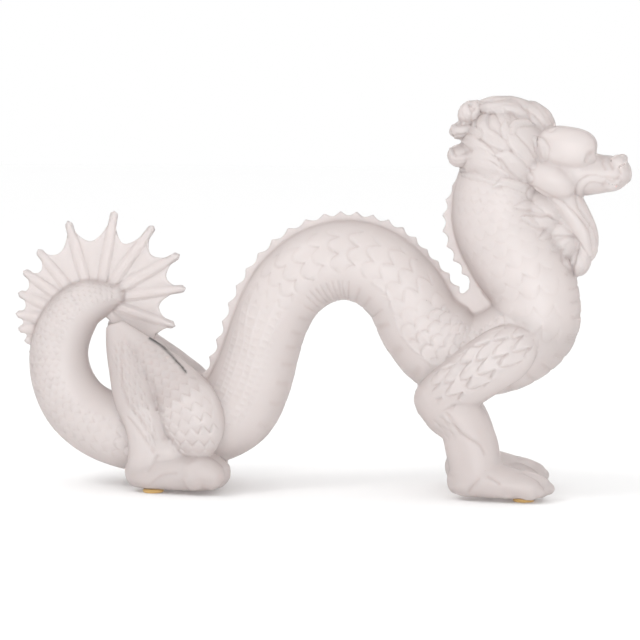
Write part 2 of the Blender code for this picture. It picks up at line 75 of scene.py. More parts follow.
# Fineness of the cast skin
VOXEL = 0.55
SMOOTH_FACTOR = 0.5
SMOOTH_REPEAT = 3
TRIANGLES = 190000

# How far up the domed end of a tube its rings lie, in degrees
DOME_LIFTS = (30.0, 55.0, 75.0)

# Body from the tail tip to the nape: x, height, half height, half width, crest web height
SPINE = (
    (-99.5, 92.5, 5.6, 5.4, 0.0),
    (-107.0, 91.0, 9.4, 9.0, 0.0),
    (-116.5, 87.0, 12.0, 11.5, 0.0),
    (-124.2, 77.5, 13.6, 13.0, 0.0),
    (-128.2, 63.5, 14.4, 14.0, 0.0),
    (-126.2, 50.0, 15.2, 15.0, 0.0),
    (-119.0, 37.5, 16.2, 15.5, 0.0),
    (-109.0, 30.0, 17.0, 16.0, 0.0),
    (-93.0, 25.0, 18.0, 17.0, 0.0),
    (-75.5, 24.0, 18.8, 17.5, 0.0),
    (-58.0, 28.0, 19.2, 18.0, 0.0),
    (-40.0, 38.0, 20.0, 18.5, 1.0),
    (-32.0, 53.0, 19.3, 18.0, 2.4),
    (-27.5, 67.0, 18.3, 17.5, 2.5),
    (-22.5, 82.0, 18.0, 17.0, 2.8),
    (-13.0, 98.0, 18.3, 17.5, 2.5),
    (-0.5, 107.5, 18.8, 18.0, 2.4),
    (13.0, 111.0, 19.2, 18.5, 2.4),
    (27.0, 108.0, 19.5, 19.0, 2.3),
    (41.0, 96.5, 19.6, 19.5, 1.5),
    (52.0, 78.0, 20.8, 20.5, 5.3),
    (61.0, 70.0, 22.2, 20.8, 7.0),
    (74.0, 66.0, 19.8, 21.0, 10.0),
    (91.5, 70.0, 20.8, 21.5, 10.0),
    (104.8, 82.5, 21.4, 21.0, 12.5),
    (104.2, 97.5, 21.2, 20.5, 5.4),
    (95.2, 115.0, 22.8, 19.5, 2.4),
    (87.0, 132.0, 22.0, 18.0, 3.5),
    (87.0, 145.5, 20.5, 17.0, 0.6),
    (90.0, 155.0, 18.5, 15.0, 0.0),
)

# The crest runs in two lengths that meet in the hollow behind the neck: first and last station,
# a station and the way from it to a tooth's tip, the teeth of the first pitch, and both pitches
CREST_RUNS = (
    (11, 23, 12, 1.2, 10, 9.3, 7.65),
    (22, 29, 28, -1.8, 0, 7.35, 7.35),
)
CREST_SAMPLES = 420
CREST_RINGS = 9
CREST_ROOT_SHARE = 0.5
CREST_RIM_SHARE = 0.25
CREST_EDGE_SHARE = 0.62
CREST_FULL_WEB = 2.0

# Limbs of the near side: x, y, height, half height, half width
UPPER_ARM = (
    (105.0, -17.0, 77.0, 5.0, 5.0),
    (100.0, -19.0, 74.0, 10.5, 8.5),
    (93.5, -20.5, 70.0, 13.5, 10.0),
    (85.0, -21.0, 64.5, 13.8, 10.5),
    (74.5, -20.5, 57.0, 13.5, 10.5),
    (64.5, -20.0, 50.0, 12.5, 10.5),
    (57.4, -19.5, 45.5, 10.8, 9.5),
)
FOREARM = (
    (56.8, -19.5, 48.5, 10.3, 9.0),
    (64.3, -19.5, 43.0, 12.8, 10.5),
    (73.2, -19.5, 34.0, 12.0, 11.0),
    (76.5, -19.5, 24.5, 12.8, 11.0),
    (78.0, -19.5, 17.0, 12.6, 11.0),
    (79.5, -19.5, 9.5, 13.3, 11.5),
)
FORE_FOOT = (
    (68.0, -19.5, 7.5, 5.8, 6.5),
    (72.0, -20.0, 8.2, 7.7, 9.0),
    (80.5, -20.5, 9.0, 8.9, 11.0),
    (90.0, -21.5, 8.3, 8.2, 11.5),
    (97.5, -22.0, 7.3, 7.1, 11.5),
    (104.0, -22.5, 6.0, 5.6, 10.0),
)
SHIN = (
    (-97.5, -13.5, 78.3, 4.3, 4.0),
    (-95.0, -15.0, 71.0, 6.5, 6.0),
    (-90.5, -17.0, 59.0, 9.2, 8.0),
    (-85.5, -20.0, 45.0, 11.0, 9.5),
    (-80.5, -20.5, 32.0, 10.5, 9.5),
    (-79.0, -20.0, 20.0, 10.5, 9.5),
    (-79.0, -19.5, 10.0, 11.5, 10.0),
)
THIGH = (
    (-95.5, -13.5, 78.3, 4.3, 4.0),
    (-87.5, -15.0, 71.3, 6.5, 5.5),
    (-78.0, -16.0, 62.3, 9.4, 7.5),
    (-68.0, -18.5, 51.8, 12.6, 9.5),
    (-60.0, -21.5, 41.5, 15.2, 11.0),
    (-56.5, -22.0, 30.0, 14.5, 11.0),
    (-56.5, -21.0, 22.0, 11.0, 9.0),
)
HIND_FOOT = (
    (-87.8, -19.0, 7.8, 6.6, 6.5),
    (-83.0, -19.5, 9.0, 8.2, 9.5),
    (-71.5, -20.0, 9.5, 9.0, 11.0),
    (-60.0, -20.5, 9.5, 9.2, 11.5),
    (-51.0, -20.5, 9.3, 9.2, 11.0),
    (-47.0, -20.5, 8.0, 7.8, 9.5),
)

# Toes of the near side: root x, y, height, tip x, y, height, radius
FORE_TOES = (
    (93.0, -27.0, 6.8, 105.5, -27.5, 5.4, 5.9),
    (95.0, -20.5, 7.4, 109.8, -20.5, 5.8, 5.8),
    (94.0, -14.5, 6.2, 106.0, -14.0, 5.0, 5.2),
)
HIND_TOES = (
    (-57.0, -26.0, 8.6, -47.5, -26.0, 8.4, 7.8),
    (-56.0, -19.5, 9.0, -46.0, -19.5, 8.6, 8.2),
    (-58.0, -14.0, 8.2, -48.5, -13.0, 7.8, 7.2),
)
KNUCKLE_RISE = 0.25
TOE_TIP_SHARE = 0.92
NAIL_LENGTH = 4.6
NAIL_HEIGHT = 3.4
NAIL_WIDTH = 3.4
NAIL_REACH = 1.8
NAIL_DROP = 0.2
NAIL_ANGLE = -12.0

# The far limbs stand further back: top height and its setback, bottom height and its setback
FAR_FORE_LIMB_SETBACK = (77.0, 0.0, 45.5, 5.0)
FAR_SHIN_SETBACK = (78.0, 5.0, 10.0, 8.0)
FAR_HAUNCH_SETBACK = (78.0, 5.0, 50.0, 9.0)

# Head: x, y, height, half height, half width
MUZZLE = (
    (112.0, 0.0, 154.5, 12.5, 13.0),
    (123.0, 0.0, 154.0, 11.8, 12.5),
    (131.0, 0.0, 153.5, 10.2, 11.5),
    (137.0, 0.0, 153.5, 9.0, 10.5),
    (142.5, 0.0, 154.0, 8.2, 9.5),
    (146.0, 0.0, 155.0, 6.5, 8.0),
)
LOWER_JAW = (
    (113.5, 0.0, 148.0, 8.0, 12.0),
    (119.5, 0.0, 140.0, 7.5, 11.0),
    (124.5, 0.0, 131.5, 7.0, 10.0),
    (128.0, 0.0, 123.0, 6.5, 9.0),
    (128.5, 0.0, 115.0, 5.3, 8.0),
)
# Rounded masses: centre x, y, height, half length, half width, half height, nose-up angle
SKULL = (90.0, 0.0, 164.0, 21.5, 18.5, 21.5, 0.0)
BEARD = (115.5, 0.0, 124.0, 12.5, 10.0, 14.5, -15.0)
CHIN = (126.3, 0.0, 112.0, 5.2, 8.0, 7.6, -12.0)
THROAT = (106.5, 0.0, 133.0, 13.0, 12.5, 15.0, 25.0)
FACE = (113.0, 0.0, 160.0, 17.0, 12.8, 13.5, -10.0)
MIDDLE_LOBES = (
    (73.5, 0.0, 182.3, 6.8, 9.0, 5.2, 35.0),
    (70.0, 0.0, 174.3, 7.0, 10.0, 4.2, 15.0),
    (69.5, 0.0, 161.8, 7.2, 11.0, 5.6, 0.0),
    (91.0, 0.0, 183.8, 15.0, 11.0, 6.3, -6.0),
    (104.0, 0.0, 179.0, 11.0, 9.0, 7.5, -35.0),
)
BROW = (119.3, -7.4, 166.2, 14.0, 8.8, 9.3, -9.0)
BROW_ROUNDNESS = 0.75
CHEEK = (112.0, -10.0, 151.3, 12.8, 7.0, 7.8, -27.0)
HOCK_FILLING = (-71.5, -20.0, 19.0, 12.0, 9.0, 9.0, 0.0)
ELBOW = (59.4, -19.5, 46.8, 10.6, 9.5, 9.8, 0.0)
EYE = (131.0, -9.0, 161.5, 2.6, 2.4, 2.4, 0.0)
NOSTRIL = (143.5, -5.0, 158.5, 4.3, 3.5, 4.0, 0.0)
NOSE_TIP = (146.0, -3.0, 155.0, 3.6, 3.6, 4.0, 0.0)
LIP_CORNER = (140.5, -6.0, 149.5, 4.0, 3.0, 3.6, 0.0)
NOSTRIL_TOP = (145.5, -3.5, 160.5, 2.6, 2.8, 2.4, 0.0)
PAIRED_MASSES = (CHEEK, HOCK_FILLING, ELBOW, EYE, NOSTRIL, NOSE_TIP, LIP_CORNER, NOSTRIL_TOP)

# The masses that are polished clear instead of etched
POLISHED_MASSES = (BROW, CHEEK, NOSTRIL, NOSE_TIP, LIP_CORNER)

# Locks of hair on the near side of the head: half width, height, strands, then x and height of
# points from the root to the tip. A later lock lies over the ones before it.
HAIR = (
    (3.3, 1.4, 2, ((99.5, 181.0), (94.5, 186.5), (90.0, 189.0), (86.0, 189.5))),
    (3.8, 1.5, 2, ((112.0, 177.0), (107.5, 184.0), (100.5, 188.5), (92.0, 190.0), (84.5, 190.5))),
    (2.8, 1.4, 2, ((85.5, 190.5), (79.0, 189.5), (74.5, 188.5), (71.5, 186.0))),
    (3.5, 1.4, 2, ((76.5, 179.0), (72.0, 180.5), (71.0, 184.5), (72.5, 187.5))),
    (2.0, 1.4, 1, ((91.5, 187.5), (85.5, 189.5), (79.0, 189.5), (76.0, 187.0), (79.0, 184.5),
                   (84.0, 186.0))),
    (2.9, 1.6, 2, ((100.0, 179.5), (94.5, 185.0), (87.0, 185.0), (80.0, 184.0), (76.5, 180.5),
                   (75.5, 175.0))),
    (2.4, 1.4, 2, ((92.5, 176.0), (90.0, 180.5), (87.0, 183.5), (84.0, 184.5))),
    (2.6, 1.4, 2, ((95.5, 168.0), (92.5, 172.0), (91.0, 175.5), (91.0, 179.0))),
    (3.4, 1.7, 3, ((92.0, 166.5), (86.0, 170.0), (81.0, 173.5), (80.0, 178.0), (82.5, 183.0))),
    (3.3, 1.4, 2, ((78.0, 172.5), (72.5, 173.5), (68.0, 173.5), (65.0, 176.5))),
    (3.4, 1.6, 3, ((85.5, 161.0), (79.5, 165.5), (73.0, 169.5), (67.0, 171.0))),
    (3.8, 1.6, 2, ((86.5, 158.0), (80.0, 161.0), (72.0, 159.5), (66.5, 159.5), (65.0, 164.5))),
    (2.5, 1.3, 2, ((88.5, 149.5), (83.0, 152.5), (76.5, 153.0), (70.0, 153.0))),
    (3.4, 1.6, 3, ((90.5, 152.5), (83.0, 156.0), (76.5, 157.5), (69.5, 155.0))),
    (3.4, 1.6, 3, ((103.5, 158.5), (99.0, 164.5), (95.0, 170.0), (93.5, 175.0))),
    (1.9, 1.3, 1, ((94.5, 173.5), (95.5, 177.0), (99.0, 178.0), (104.5, 176.5))),
    (3.8, 1.9, 3, ((101.5, 152.0), (96.0, 158.0), (92.0, 162.0), (87.5, 163.0))),
    (2.0, 1.4, 1, ((104.0, 145.5), (97.0, 148.5), (90.5, 150.0), (85.5, 147.5))),
    (3.1, 1.6, 1, ((109.0, 162.0), (108.0, 167.5), (104.5, 171.0))),
    (2.7, 1.4, 2, ((113.5, 136.0), (104.0, 139.0), (96.0, 138.5))),
    (2.8, 1.4, 3, ((117.5, 132.0), (108.5, 131.0), (99.5, 133.5))),
    (2.8, 1.4, 3, ((123.5, 126.5), (115.5, 127.5), (107.5, 123.5))),
    (2.6, 1.4, 3, ((126.0, 121.5), (119.5, 121.0), (113.5, 118.0))),
    (3.1, 1.4, 3, ((124.0, 121.0), (121.0, 115.0), (122.0, 109.0))),
    (3.5, 1.4, 3, ((128.5, 119.0), (127.5, 111.5), (124.5, 105.5))),
    (2.4, 1.4, 2, ((132.5, 128.5), (134.0, 122.0), (131.5, 113.5))),
    (4.0, 1.4, 0, ((104.5, 144.5), (112.5, 139.0), (121.0, 133.0), (127.5, 125.0), (131.0, 115.5))),
    (1.8, 1.1, 0, ((144.0, 150.0), (137.0, 151.0), (130.0, 151.5), (126.5, 148.0), (126.0, 142.5),
                   (129.0, 135.5), (133.0, 129.5), (134.5, 124.0), (134.5, 117.5))),
)
# A lock's width and its height from the root to the tip, as shares
LOCK_WIDTHS = ((0.0, 0.7), (0.35, 1.0), (0.75, 0.8), (1.0, 0.25))
LOCK_HEIGHTS = ((0.0, 0.25), (0.5, 0.65), (1.0, 0.8))
LOCK_STRAND_DEPTH = 0.35
LOCK_EDGE_DEPTH = 0.45

# Rays of the tail fan: tip x, height, base x, height, depth of the scallop before the next ray
FAN_RAYS = (
    (-143.5, 64.0, -134.0, 66.5, 2.6),
    (-145.8, 69.5, -132.5, 71.0, 3.2),
    (-149.0, 75.3, -131.0, 75.0, 3.6),
    (-150.0, 83.0, -129.5, 79.0, 5.0),
    (-148.7, 93.3, -127.0, 84.0, 5.2),
    (-146.0, 104.2, -123.0, 88.0, 7.8),
    (-138.7, 114.7, -119.0, 91.0, 9.3),
    (-123.2, 128.8, -113.0, 94.0, 12.5),
    (-99.7, 134.1, -107.0, 95.0, 14.0),
    (-80.3, 127.0, -104.5, 94.0, 11.0),
    (-67.5, 113.0, -103.0, 92.5, 9.0),
    (-64.5, 96.4, -103.0, 91.0, 10.9),
    (-69.8, 77.7, -104.5, 89.0, 5.5),
    (-81.0, 62.0, -106.5, 87.0, 0.0),
)
FAN_RAY_TIP_RADIUS = 2.1
FAN_RAY_BASE_RADIUS = 2.4
FAN_RAY_TIP_SHARE = 0.7
FAN_SCALLOP_POWER = 0.55
FAN_STEPS_PER_RAY = 10
FAN_RINGS = 14


# %% [markdown]
# ## Forms
#
# Each form is a closed grid of points worked out from a table: a tube carried along a path, a
# rounded mass, or a thin plate in the middle plane. They run into each other, and the skin is
# made over all of them together, as a casting is.

# %% Curves and closed forms
def way_along(path):
    """Distance travelled along a path up to each of its points."""
    steps = np.linalg.norm(np.diff(path, axis=0), axis=1)
    return np.concatenate(([0.0], np.cumsum(steps)))


def spline(rows, samples):
    """Smooth curve through the rows: cubic Hermite pieces over the chord length of x, y and z."""
    rows = np.asarray(rows, dtype=float)
    knots = way_along(rows[:, :3])
    slopes = np.gradient(rows, knots, axis=0)
    places = np.linspace(0.0, knots[-1], samples)
    cell = np.clip(np.searchsorted(knots, places, side="right") - 1, 0, len(knots) - 2)
    span = (knots[cell + 1] - knots[cell])[:, None]
    t = (places - knots[cell])[:, None] / span
    start = (1.0 + 2.0 * t) * (1.0 - t) ** 2 * rows[cell]
    end = t ** 2 * (3.0 - 2.0 * t) * rows[cell + 1]
    leave = t * (1.0 - t) ** 2 * span * slopes[cell]
    arrive = t ** 2 * (t - 1.0) * span * slopes[cell + 1]
    return start + end + leave + arrive


def normalised(vectors):
    """Each row divided by its own length."""
    return vectors / np.linalg.norm(vectors, axis=1, keepdims=True)


def axes_along(centre):
    """Heading, side and back directions of a path that keeps its side level along +Y."""
    heading = normalised(np.gradient(centre, axis=0))
    side = normalised(np.array([0.0, 1.0, 0.0]) - heading * heading[:, 1:2])
    return heading, side, np.cross(heading, side)


def grid_faces(rings, around):
    """Quads between neighbouring closed rings, and a fan to a pole at each end."""
    faces = []
    for ring in range(rings - 1):
        for step in range(around):
            a = ring * around + step
            b = ring * around + (step + 1) % around
            faces.append((a, a + around, b + around, b))
    first_pole = rings * around
    last_pole = first_pole + 1
    last = (rings - 1) * around
    for step in range(around):
        after = (step + 1) % around
        faces.append((first_pole, step, after))
        faces.append((last_pole, last + after, last + step))
    return faces


def tube(rows, along=40, around=28, dome=0.5):
    """Closed form carried along a path: an ellipse across it at each station, with domed ends."""
    path = spline(rows, along)
    centre = path[:, :3]
    half = path[:, 3:5]
    heading, side, back = axes_along(centre)
    caps = len(DOME_LIFTS)
    station = np.clip(np.arange(-caps, along + caps), 0, along - 1)
    outward = np.repeat((-1.0, 0.0, 1.0), (caps, along, caps))
    lift = np.radians(np.concatenate((DOME_LIFTS[::-1], np.zeros(along), DOME_LIFTS)))
    reach = outward * dome * half[station].min(axis=1) * np.sin(lift)
    centres = centre[station] + heading[station] * reach[:, None]
    halves = half[station] * np.cos(lift)[:, None]
    turn = np.linspace(0.0, 2.0 * np.pi, around, endpoint=False)
    up = back[station][:, None] * (halves[:, :1] * np.cos(turn))[..., None]
    out = side[station][:, None] * (halves[:, 1:] * np.sin(turn))[..., None]
    rings = centres[:, None] + up + out
    first_pole = centre[0] - heading[0] * dome * half[0].min()
    last_pole = centre[-1] + heading[-1] * dome * half[-1].min()
    points = np.vstack((rings.reshape(-1, 3), first_pole, last_pole))
    return points, grid_faces(len(station), around)


def bowed(wave, roundness):
    """A sine or cosine raised to the roundness, with its sign kept: under 1 makes a form boxier."""
    return np.sign(wave) * np.abs(wave) ** roundness


def ellipsoid(mass, rings=15, around=24, roundness=1.0):
    """Rounded mass about its centre, turned nose up by its angle in the middle plane."""
    x, y, z, long, wide, high, angle = mass
    tilt = np.radians(angle)
    polar = np.linspace(0.0, np.pi, rings + 2)[1:-1]
    turn = np.linspace(0.0, 2.0 * np.pi, around, endpoint=False)
    ring = bowed(np.sin(polar), roundness)[:, None]
    ahead = -long * bowed(np.cos(polar), roundness)[:, None] * np.ones(around)
    up = high * ring * bowed(np.cos(turn), roundness)
    out = wide * ring * bowed(np.sin(turn), roundness)
    local = np.stack((ahead, out, up), axis=2).reshape(-1, 3)
    local = np.vstack((local, (-long, 0.0, 0.0), (long, 0.0, 0.0)))
    points = np.empty_like(local)
    points[:, 0] = x + local[:, 0] * np.cos(tilt) - local[:, 2] * np.sin(tilt)
    points[:, 1] = y + local[:, 1]
    points[:, 2] = z + local[:, 0] * np.sin(tilt) + local[:, 2] * np.cos(tilt)
    return points, grid_faces(rings, around)


def plate(front, half_thickness):
    """Closed plate in the middle plane: a grid of x and height with its own half thickness."""
    across, along = half_thickness.shape
    near = np.stack((front[..., 0], -half_thickness, front[..., 1]), axis=2)
    far = np.stack((front[..., 0], half_thickness, front[..., 1]), axis=2)
    points = np.vstack((near.reshape(-1, 3), far.reshape(-1, 3)))
    count = across * along
    faces = []
    for i in range(across - 1):
        for j in range(along - 1):
            a = i * along + j
            b = a + along
            faces.append((a, b, b + 1, a + 1))
            faces.append((count + a, count + a + 1, count + b + 1, count + b))
    low = list(range(along))
    right = [i * along + along - 1 for i in range(1, across)]
    high = [(across - 1) * along + j for j in range(along - 2, -1, -1)]
    left = [i * along for i in range(across - 2, 0, -1)]
    border = low + right + high + left
    for a, b in zip(border, border[1:] + border[:1]):
        faces.append((a, b, count + b, count + a))
    return points, faces


def crest(first, last, tooth_station, tooth_offset, first_teeth, first_pitch, later_pitch):
    """Thin saw-toothed web over the back, between two stations of the body."""
    rows = [(x, 0.0, z, half, web) for x, z, half, wide, web in SPINE[first:last + 1]]
    path = spline(rows, CREST_SAMPLES)
    centre = path[:, :3]
    heading, side, back = axes_along(centre)
    valley = centre + back * (path[:, 3:4] + path[:, 4:5])
    travelled = way_along(valley)
    station = np.array((SPINE[tooth_station][0], 0.0, SPINE[tooth_station][1]))
    beside = np.argmin(np.linalg.norm(centre - station, axis=1))
    from_tip = travelled - travelled[beside] - tooth_offset
    change = first_teeth * first_pitch
    phase = np.minimum(from_tip, change) / first_pitch
    phase += np.maximum(from_tip - change, 0.0) / later_pitch
    fade = np.clip(path[:, 4] / CREST_FULL_WEB, 0.0, 1.0)
    tooth = CREST_TOOTH_HEIGHT * fade * (1.0 - np.abs(np.sin(np.pi * phase)))
    edge = valley + back * tooth[:, None]
    root = centre + back * CREST_ROOT_SHARE * path[:, 3:4]
    share = np.linspace(0.0, 1.0, CREST_RINGS)
    grid = root[:, None, :] + (edge - root)[:, None, :] * share[None, :, None]
    inward = np.clip((1.0 - share) / CREST_RIM_SHARE, 0.0, 1.0)
    half = 0.5 * CREST_THICKNESS * (CREST_EDGE_SHARE + (1.0 - CREST_EDGE_SHARE) * inward)
    return plate(grid[..., [0, 2]], np.repeat(half[None], CREST_SAMPLES, axis=0))


def fan_membrane():
    """Thin plate of the tail fan, its edge scalloped between the tips of the rays."""
    rays = np.asarray(FAN_RAYS)
    gaps = len(rays) - 1
    place = np.linspace(0.0, gaps, gaps * FAN_STEPS_PER_RAY + 1)
    cell = np.clip(place.astype(int), 0, gaps - 1)
    share = (place - cell)[:, None]
    ends = rays[cell] * (1.0 - share) + rays[cell + 1] * share
    between = np.abs(np.sin(np.pi * share[:, 0]))
    run = np.linalg.norm(ends[:, 0:2] - ends[:, 2:4], axis=1)
    reach = 1.0 - rays[cell, 4] / run * between ** FAN_SCALLOP_POWER
    rings = np.linspace(0.0, 1.0, FAN_RINGS)
    tips = ends[:, None, 0:2]
    bases = ends[:, None, 2:4]
    grid = bases + (tips - bases) * (reach[:, None] * rings)[..., None]
    half = np.full(grid.shape[:2], 0.5 * FAN_MEMBRANE_THICKNESS)
    return plate(grid, half)


def fan_rays():
    """Raised round rays of the tail fan, each a tapered rod with a blunt tip."""
    forms = []
    wide = 0.5 * FAN_RIDGE_THICKNESS
    for tip_x, tip_z, base_x, base_z, scallop in FAN_RAYS:
        run = np.hypot(tip_x - base_x, tip_z - base_z)
        keep = 1.0 - FAN_RAY_TIP_RADIUS / run
        rows = (
            (base_x, 0.0, base_z, FAN_RAY_BASE_RADIUS, wide),
            (0.5 * (base_x + tip_x), 0.0, 0.5 * (base_z + tip_z), FAN_RAY_BASE_RADIUS, wide),
            (base_x + keep * (tip_x - base_x), 0.0, base_z + keep * (tip_z - base_z),
             FAN_RAY_TIP_RADIUS, FAN_RAY_TIP_SHARE * wide),
        )
        forms.append(tube(rows, along=12, around=14, dome=1.0))
    return forms


def digits(toes):
    """Toes of one foot, each a short tube that ends in a rounded nail."""
    forms = []
    for x0, y0, z0, x1, y1, z1, radius in toes:
        knuckle_z = 0.5 * (z0 + z1) + KNUCKLE_RISE * radius
        tip = TOE_TIP_SHARE * radius
        rows = (
            (x0, y0, z0, radius, radius),
            (0.5 * (x0 + x1), 0.5 * (y0 + y1), knuckle_z, radius, radius),
            (x1, y1, z1, tip, tip),
        )
        forms.append(tube(rows, along=12, around=18, dome=0.8))
        centre = (x1 + NAIL_REACH, y1, z1 - NAIL_DROP)
        size = (NAIL_LENGTH, NAIL_WIDTH, NAIL_HEIGHT, NAIL_ANGLE)
        forms.append(ellipsoid(centre + size, rings=9, around=16))
    return forms


def setback(points, top, top_distance, bottom, bottom_distance):
    """How far back a far limb stands at each point: even between its top and bottom heights."""
    share = np.clip((top - points[:, 2]) / (top - bottom), 0.0, 1.0)
    return top_distance + (bottom_distance - top_distance) * share


def set_back(form, heights):
    """The same closed form, drawn back towards the tail by the setback of its limb."""
    points, faces = form
    moved = points.copy()
    moved[:, 0] -= setback(points, *heights)
    return moved, faces


def mirrored(form):
    """The same closed form on the other side of the middle plane."""
    points, faces = form
    return points * np.array([1.0, -1.0, 1.0]), [tuple(reversed(face)) for face in faces]


def middle_forms():
    """Forms that lie across the middle plane: body, skull, jaws, beard, crest and fan."""
    body = [(x, 0.0, z, half, wide) for x, z, half, wide, web in SPINE]
    forms = [
        tube(body, along=220, around=44, dome=0.9),
        ellipsoid(SKULL, rings=21, around=32),
        ellipsoid(BEARD),
        ellipsoid(CHIN),
        ellipsoid(THROAT),
        ellipsoid(FACE, rings=21, around=32),
        tube(MUZZLE, along=30, dome=0.6),
        tube(LOWER_JAW, along=30, dome=0.6),
        fan_membrane(),
    ]
    forms += [ellipsoid(lobe) for lobe in MIDDLE_LOBES]
    forms += [crest(*run) for run in CREST_RUNS]
    return forms + fan_rays()


# %% [markdown]
# The limbs and the sides of the head are made for the near side. The far side mirrors them, and
# its limbs stand a little further back.

# %% Limbs and head
def near_fore_limb():
    """Upper arm, forearm, fore foot and its toes on the near side."""
    return [tube(rows) for rows in (UPPER_ARM, FOREARM, FORE_FOOT)] + digits(FORE_TOES)


def near_shin():
    """Shin, hind foot and its toes on the near side."""
    return [tube(rows) for rows in (SHIN, HIND_FOOT)] + digits(HIND_TOES)


def near_masses():
    """Brow, cheek, eye, nose and lip of the near side, and the masses at the elbow and hock."""
    forms = [ellipsoid(mass) for mass in PAIRED_MASSES]
    forms.append(ellipsoid(BROW, rings=21, around=32, roundness=BROW_ROUNDNESS))
    return forms


near = near_masses() + near_fore_limb() + near_shin() + [tube(THIGH)]
far = near_masses()
far += [set_back(form, FAR_FORE_LIMB_SETBACK) for form in near_fore_limb()]
far += [set_back(form, FAR_SHIN_SETBACK) for form in near_shin()]
far.append(set_back(tube(THIGH), FAR_HAUNCH_SETBACK))
forms = middle_forms() + near + [mirrored(form) for form in far]
print(len(forms), "closed forms")


# %% [markdown]
# ## One skin
#
# A voxel remesh over all forms gives one closed skin, and a light smoothing rounds the creases
# where forms meet, as frosting and polishing do on a cast.

# %% Skin over the forms
def mesh_from_forms(name, closed_forms):
    """One mesh that holds every closed form, in metres over the soles."""
    points = []
    faces = []
    start = 0
    for form_points, form_faces in closed_forms:
        points.append(form_points)
        faces += [tuple(index + start for index in face) for face in form_faces]
        start += len(form_points)
    metres = np.vstack(points) * UNIT
    metres[:, 2] += SOLE_HEIGHT - SOLE_CUT * UNIT
    mesh = bpy.data.meshes.new(name)
    mesh.from_pydata(metres.tolist(), [], faces)
    return mesh


def linked(name, data):
    """New object in the scene that holds a mesh, a light or a camera."""
    made = bpy.data.objects.new(name, data)
    bpy.context.scene.collection.objects.link(made)
    return made


def carried_out(draft):
    """Mesh of a draft object with its modifiers carried out. The draft is removed."""
    graph = bpy.context.evaluated_depsgraph_get()
    result = bpy.data.meshes.new_from_object(draft.evaluated_get(graph))
    bpy.data.objects.remove(draft, do_unlink=True)
    return result


def remeshed(mesh):
    """Closed voxel skin over the mesh, slightly smoothed."""
    draft = linked("draft", mesh)
    skin = draft.modifiers.new("skin", "REMESH")
    skin.mode = "VOXEL"
    skin.voxel_size = VOXEL * UNIT
    soften = draft.modifiers.new("soften", "SMOOTH")
    soften.factor = SMOOTH_FACTOR
    soften.iterations = SMOOTH_REPEAT
    return carried_out(draft)


skin_mesh = remeshed(mesh_from_forms("draft", forms))
print(len(skin_mesh.vertices), "points in the skin")


# %% [markdown]
# ## Relief
#
# The relief is a height over the skin, worked out for each point of it. Every point is first
# moved to the near side, as the figure is the same on both sides, and is then placed on the tube
# that carries it: how far along it lies, and at what angle from the tube's back. Scales,
# feathers and belly plates are then simple patterns of these two numbers.

# %% Places on a tube
# A point has the full relief this close to the tube's surface, and none this far from it
NEARNESS_CLOSE = 0.7
NEARNESS_FAR = 1.8
# The same for how far it lies ahead of or behind the nearest place on the tube's path
PAST_CLOSE = 0.5
PAST_FAR = 2.0
TUBE_SAMPLES = 600
# Points that are worked on at once
BATCH = 20000


def smooth_step(low, high, value):
    """0 below low, 1 above high, and an even rise between them."""
    t = np.clip((value - low) / (high - low), 0.0, 1.0)
    return t * t * (3.0 - 2.0 * t)


def band(value, low, high, soft):
    """1 between low and high, 0 outside, with soft borders inside them."""
    return smooth_step(low, low + soft, value) * smooth_step(high, high - soft, value)


def by_place(along, stations):
    """Value at each place along, straight between the stations."""
    return np.interp(along, [s[0] for s in stations], [s[1] for s in stations])


def close_to(points, path, reach):
    """Places in the list of the points in the box around a path, widened by reach."""
    inside = (points > path.min(axis=0) - reach) & (points < path.max(axis=0) + reach)
    return np.where(inside.all(axis=1))[0]


def on_tube(points, rows):
    """Points near a tube, and for each of them where it lies on the tube.

    Returns their places in the list, the way along, the angle from the back (0 to pi), the
    tube's mean radius there, and their share of the relief (0 to 1).
    """
    path = spline(rows, TUBE_SAMPLES)
    centre = path[:, :3]
    chosen = close_to(points, centre, path[:, 3:5].max() + NEARNESS_FAR)
    heading, side, back = axes_along(centre)
    nearest = np.empty(len(chosen), dtype=int)
    for start in range(0, len(chosen), BATCH):
        part = points[chosen[start:start + BATCH]]
        gap = (centre ** 2).sum(axis=1) - 2.0 * part @ centre.T
        nearest[start:start + BATCH] = gap.argmin(axis=1)
    offset = points[chosen] - centre[nearest]
    ahead = (offset * heading[nearest]).sum(axis=1)
    up = (offset * back[nearest]).sum(axis=1) / path[nearest, 3]
    out = (offset * side[nearest]).sum(axis=1) / path[nearest, 4]
    depth = (np.hypot(up, out) - 1.0) * path[nearest, 3:5].min(axis=1)
    share = smooth_step(NEARNESS_FAR, NEARNESS_CLOSE, np.abs(depth))
    share *= smooth_step(PAST_FAR, PAST_CLOSE, np.abs(ahead))
    along = way_along(centre)[nearest] + ahead
    angle = np.arctan2(np.abs(out), up)
    return chosen, along, angle, path[nearest, 3:5].mean(axis=1), share


# %% [markdown]
# A pattern works with two counts: rows along the tube and columns around it. One whole number
# of each is one scale.

# %% Patterns
# Share of its height that a scale slopes down in one row
SCALE_SLOPE = 0.5
# Depth of the groove before a scale, as a share of the scale's height
SCALE_GROOVE = 0.45
# The patches of deep and shallow scales: middle share, swing, and the radians that each of two
# slow waves turns for a row and for a column
PATCH_MIDDLE = 0.7
PATCH_SWING = 0.3
PATCH_WAVES = ((1.1, 0.9), (0.6, -1.3))
ROW_SAMPLES = 1200
# Count of columns on the line halfway round a tube, from which the slow waves start
MIDDLE_COLUMN = 100.0


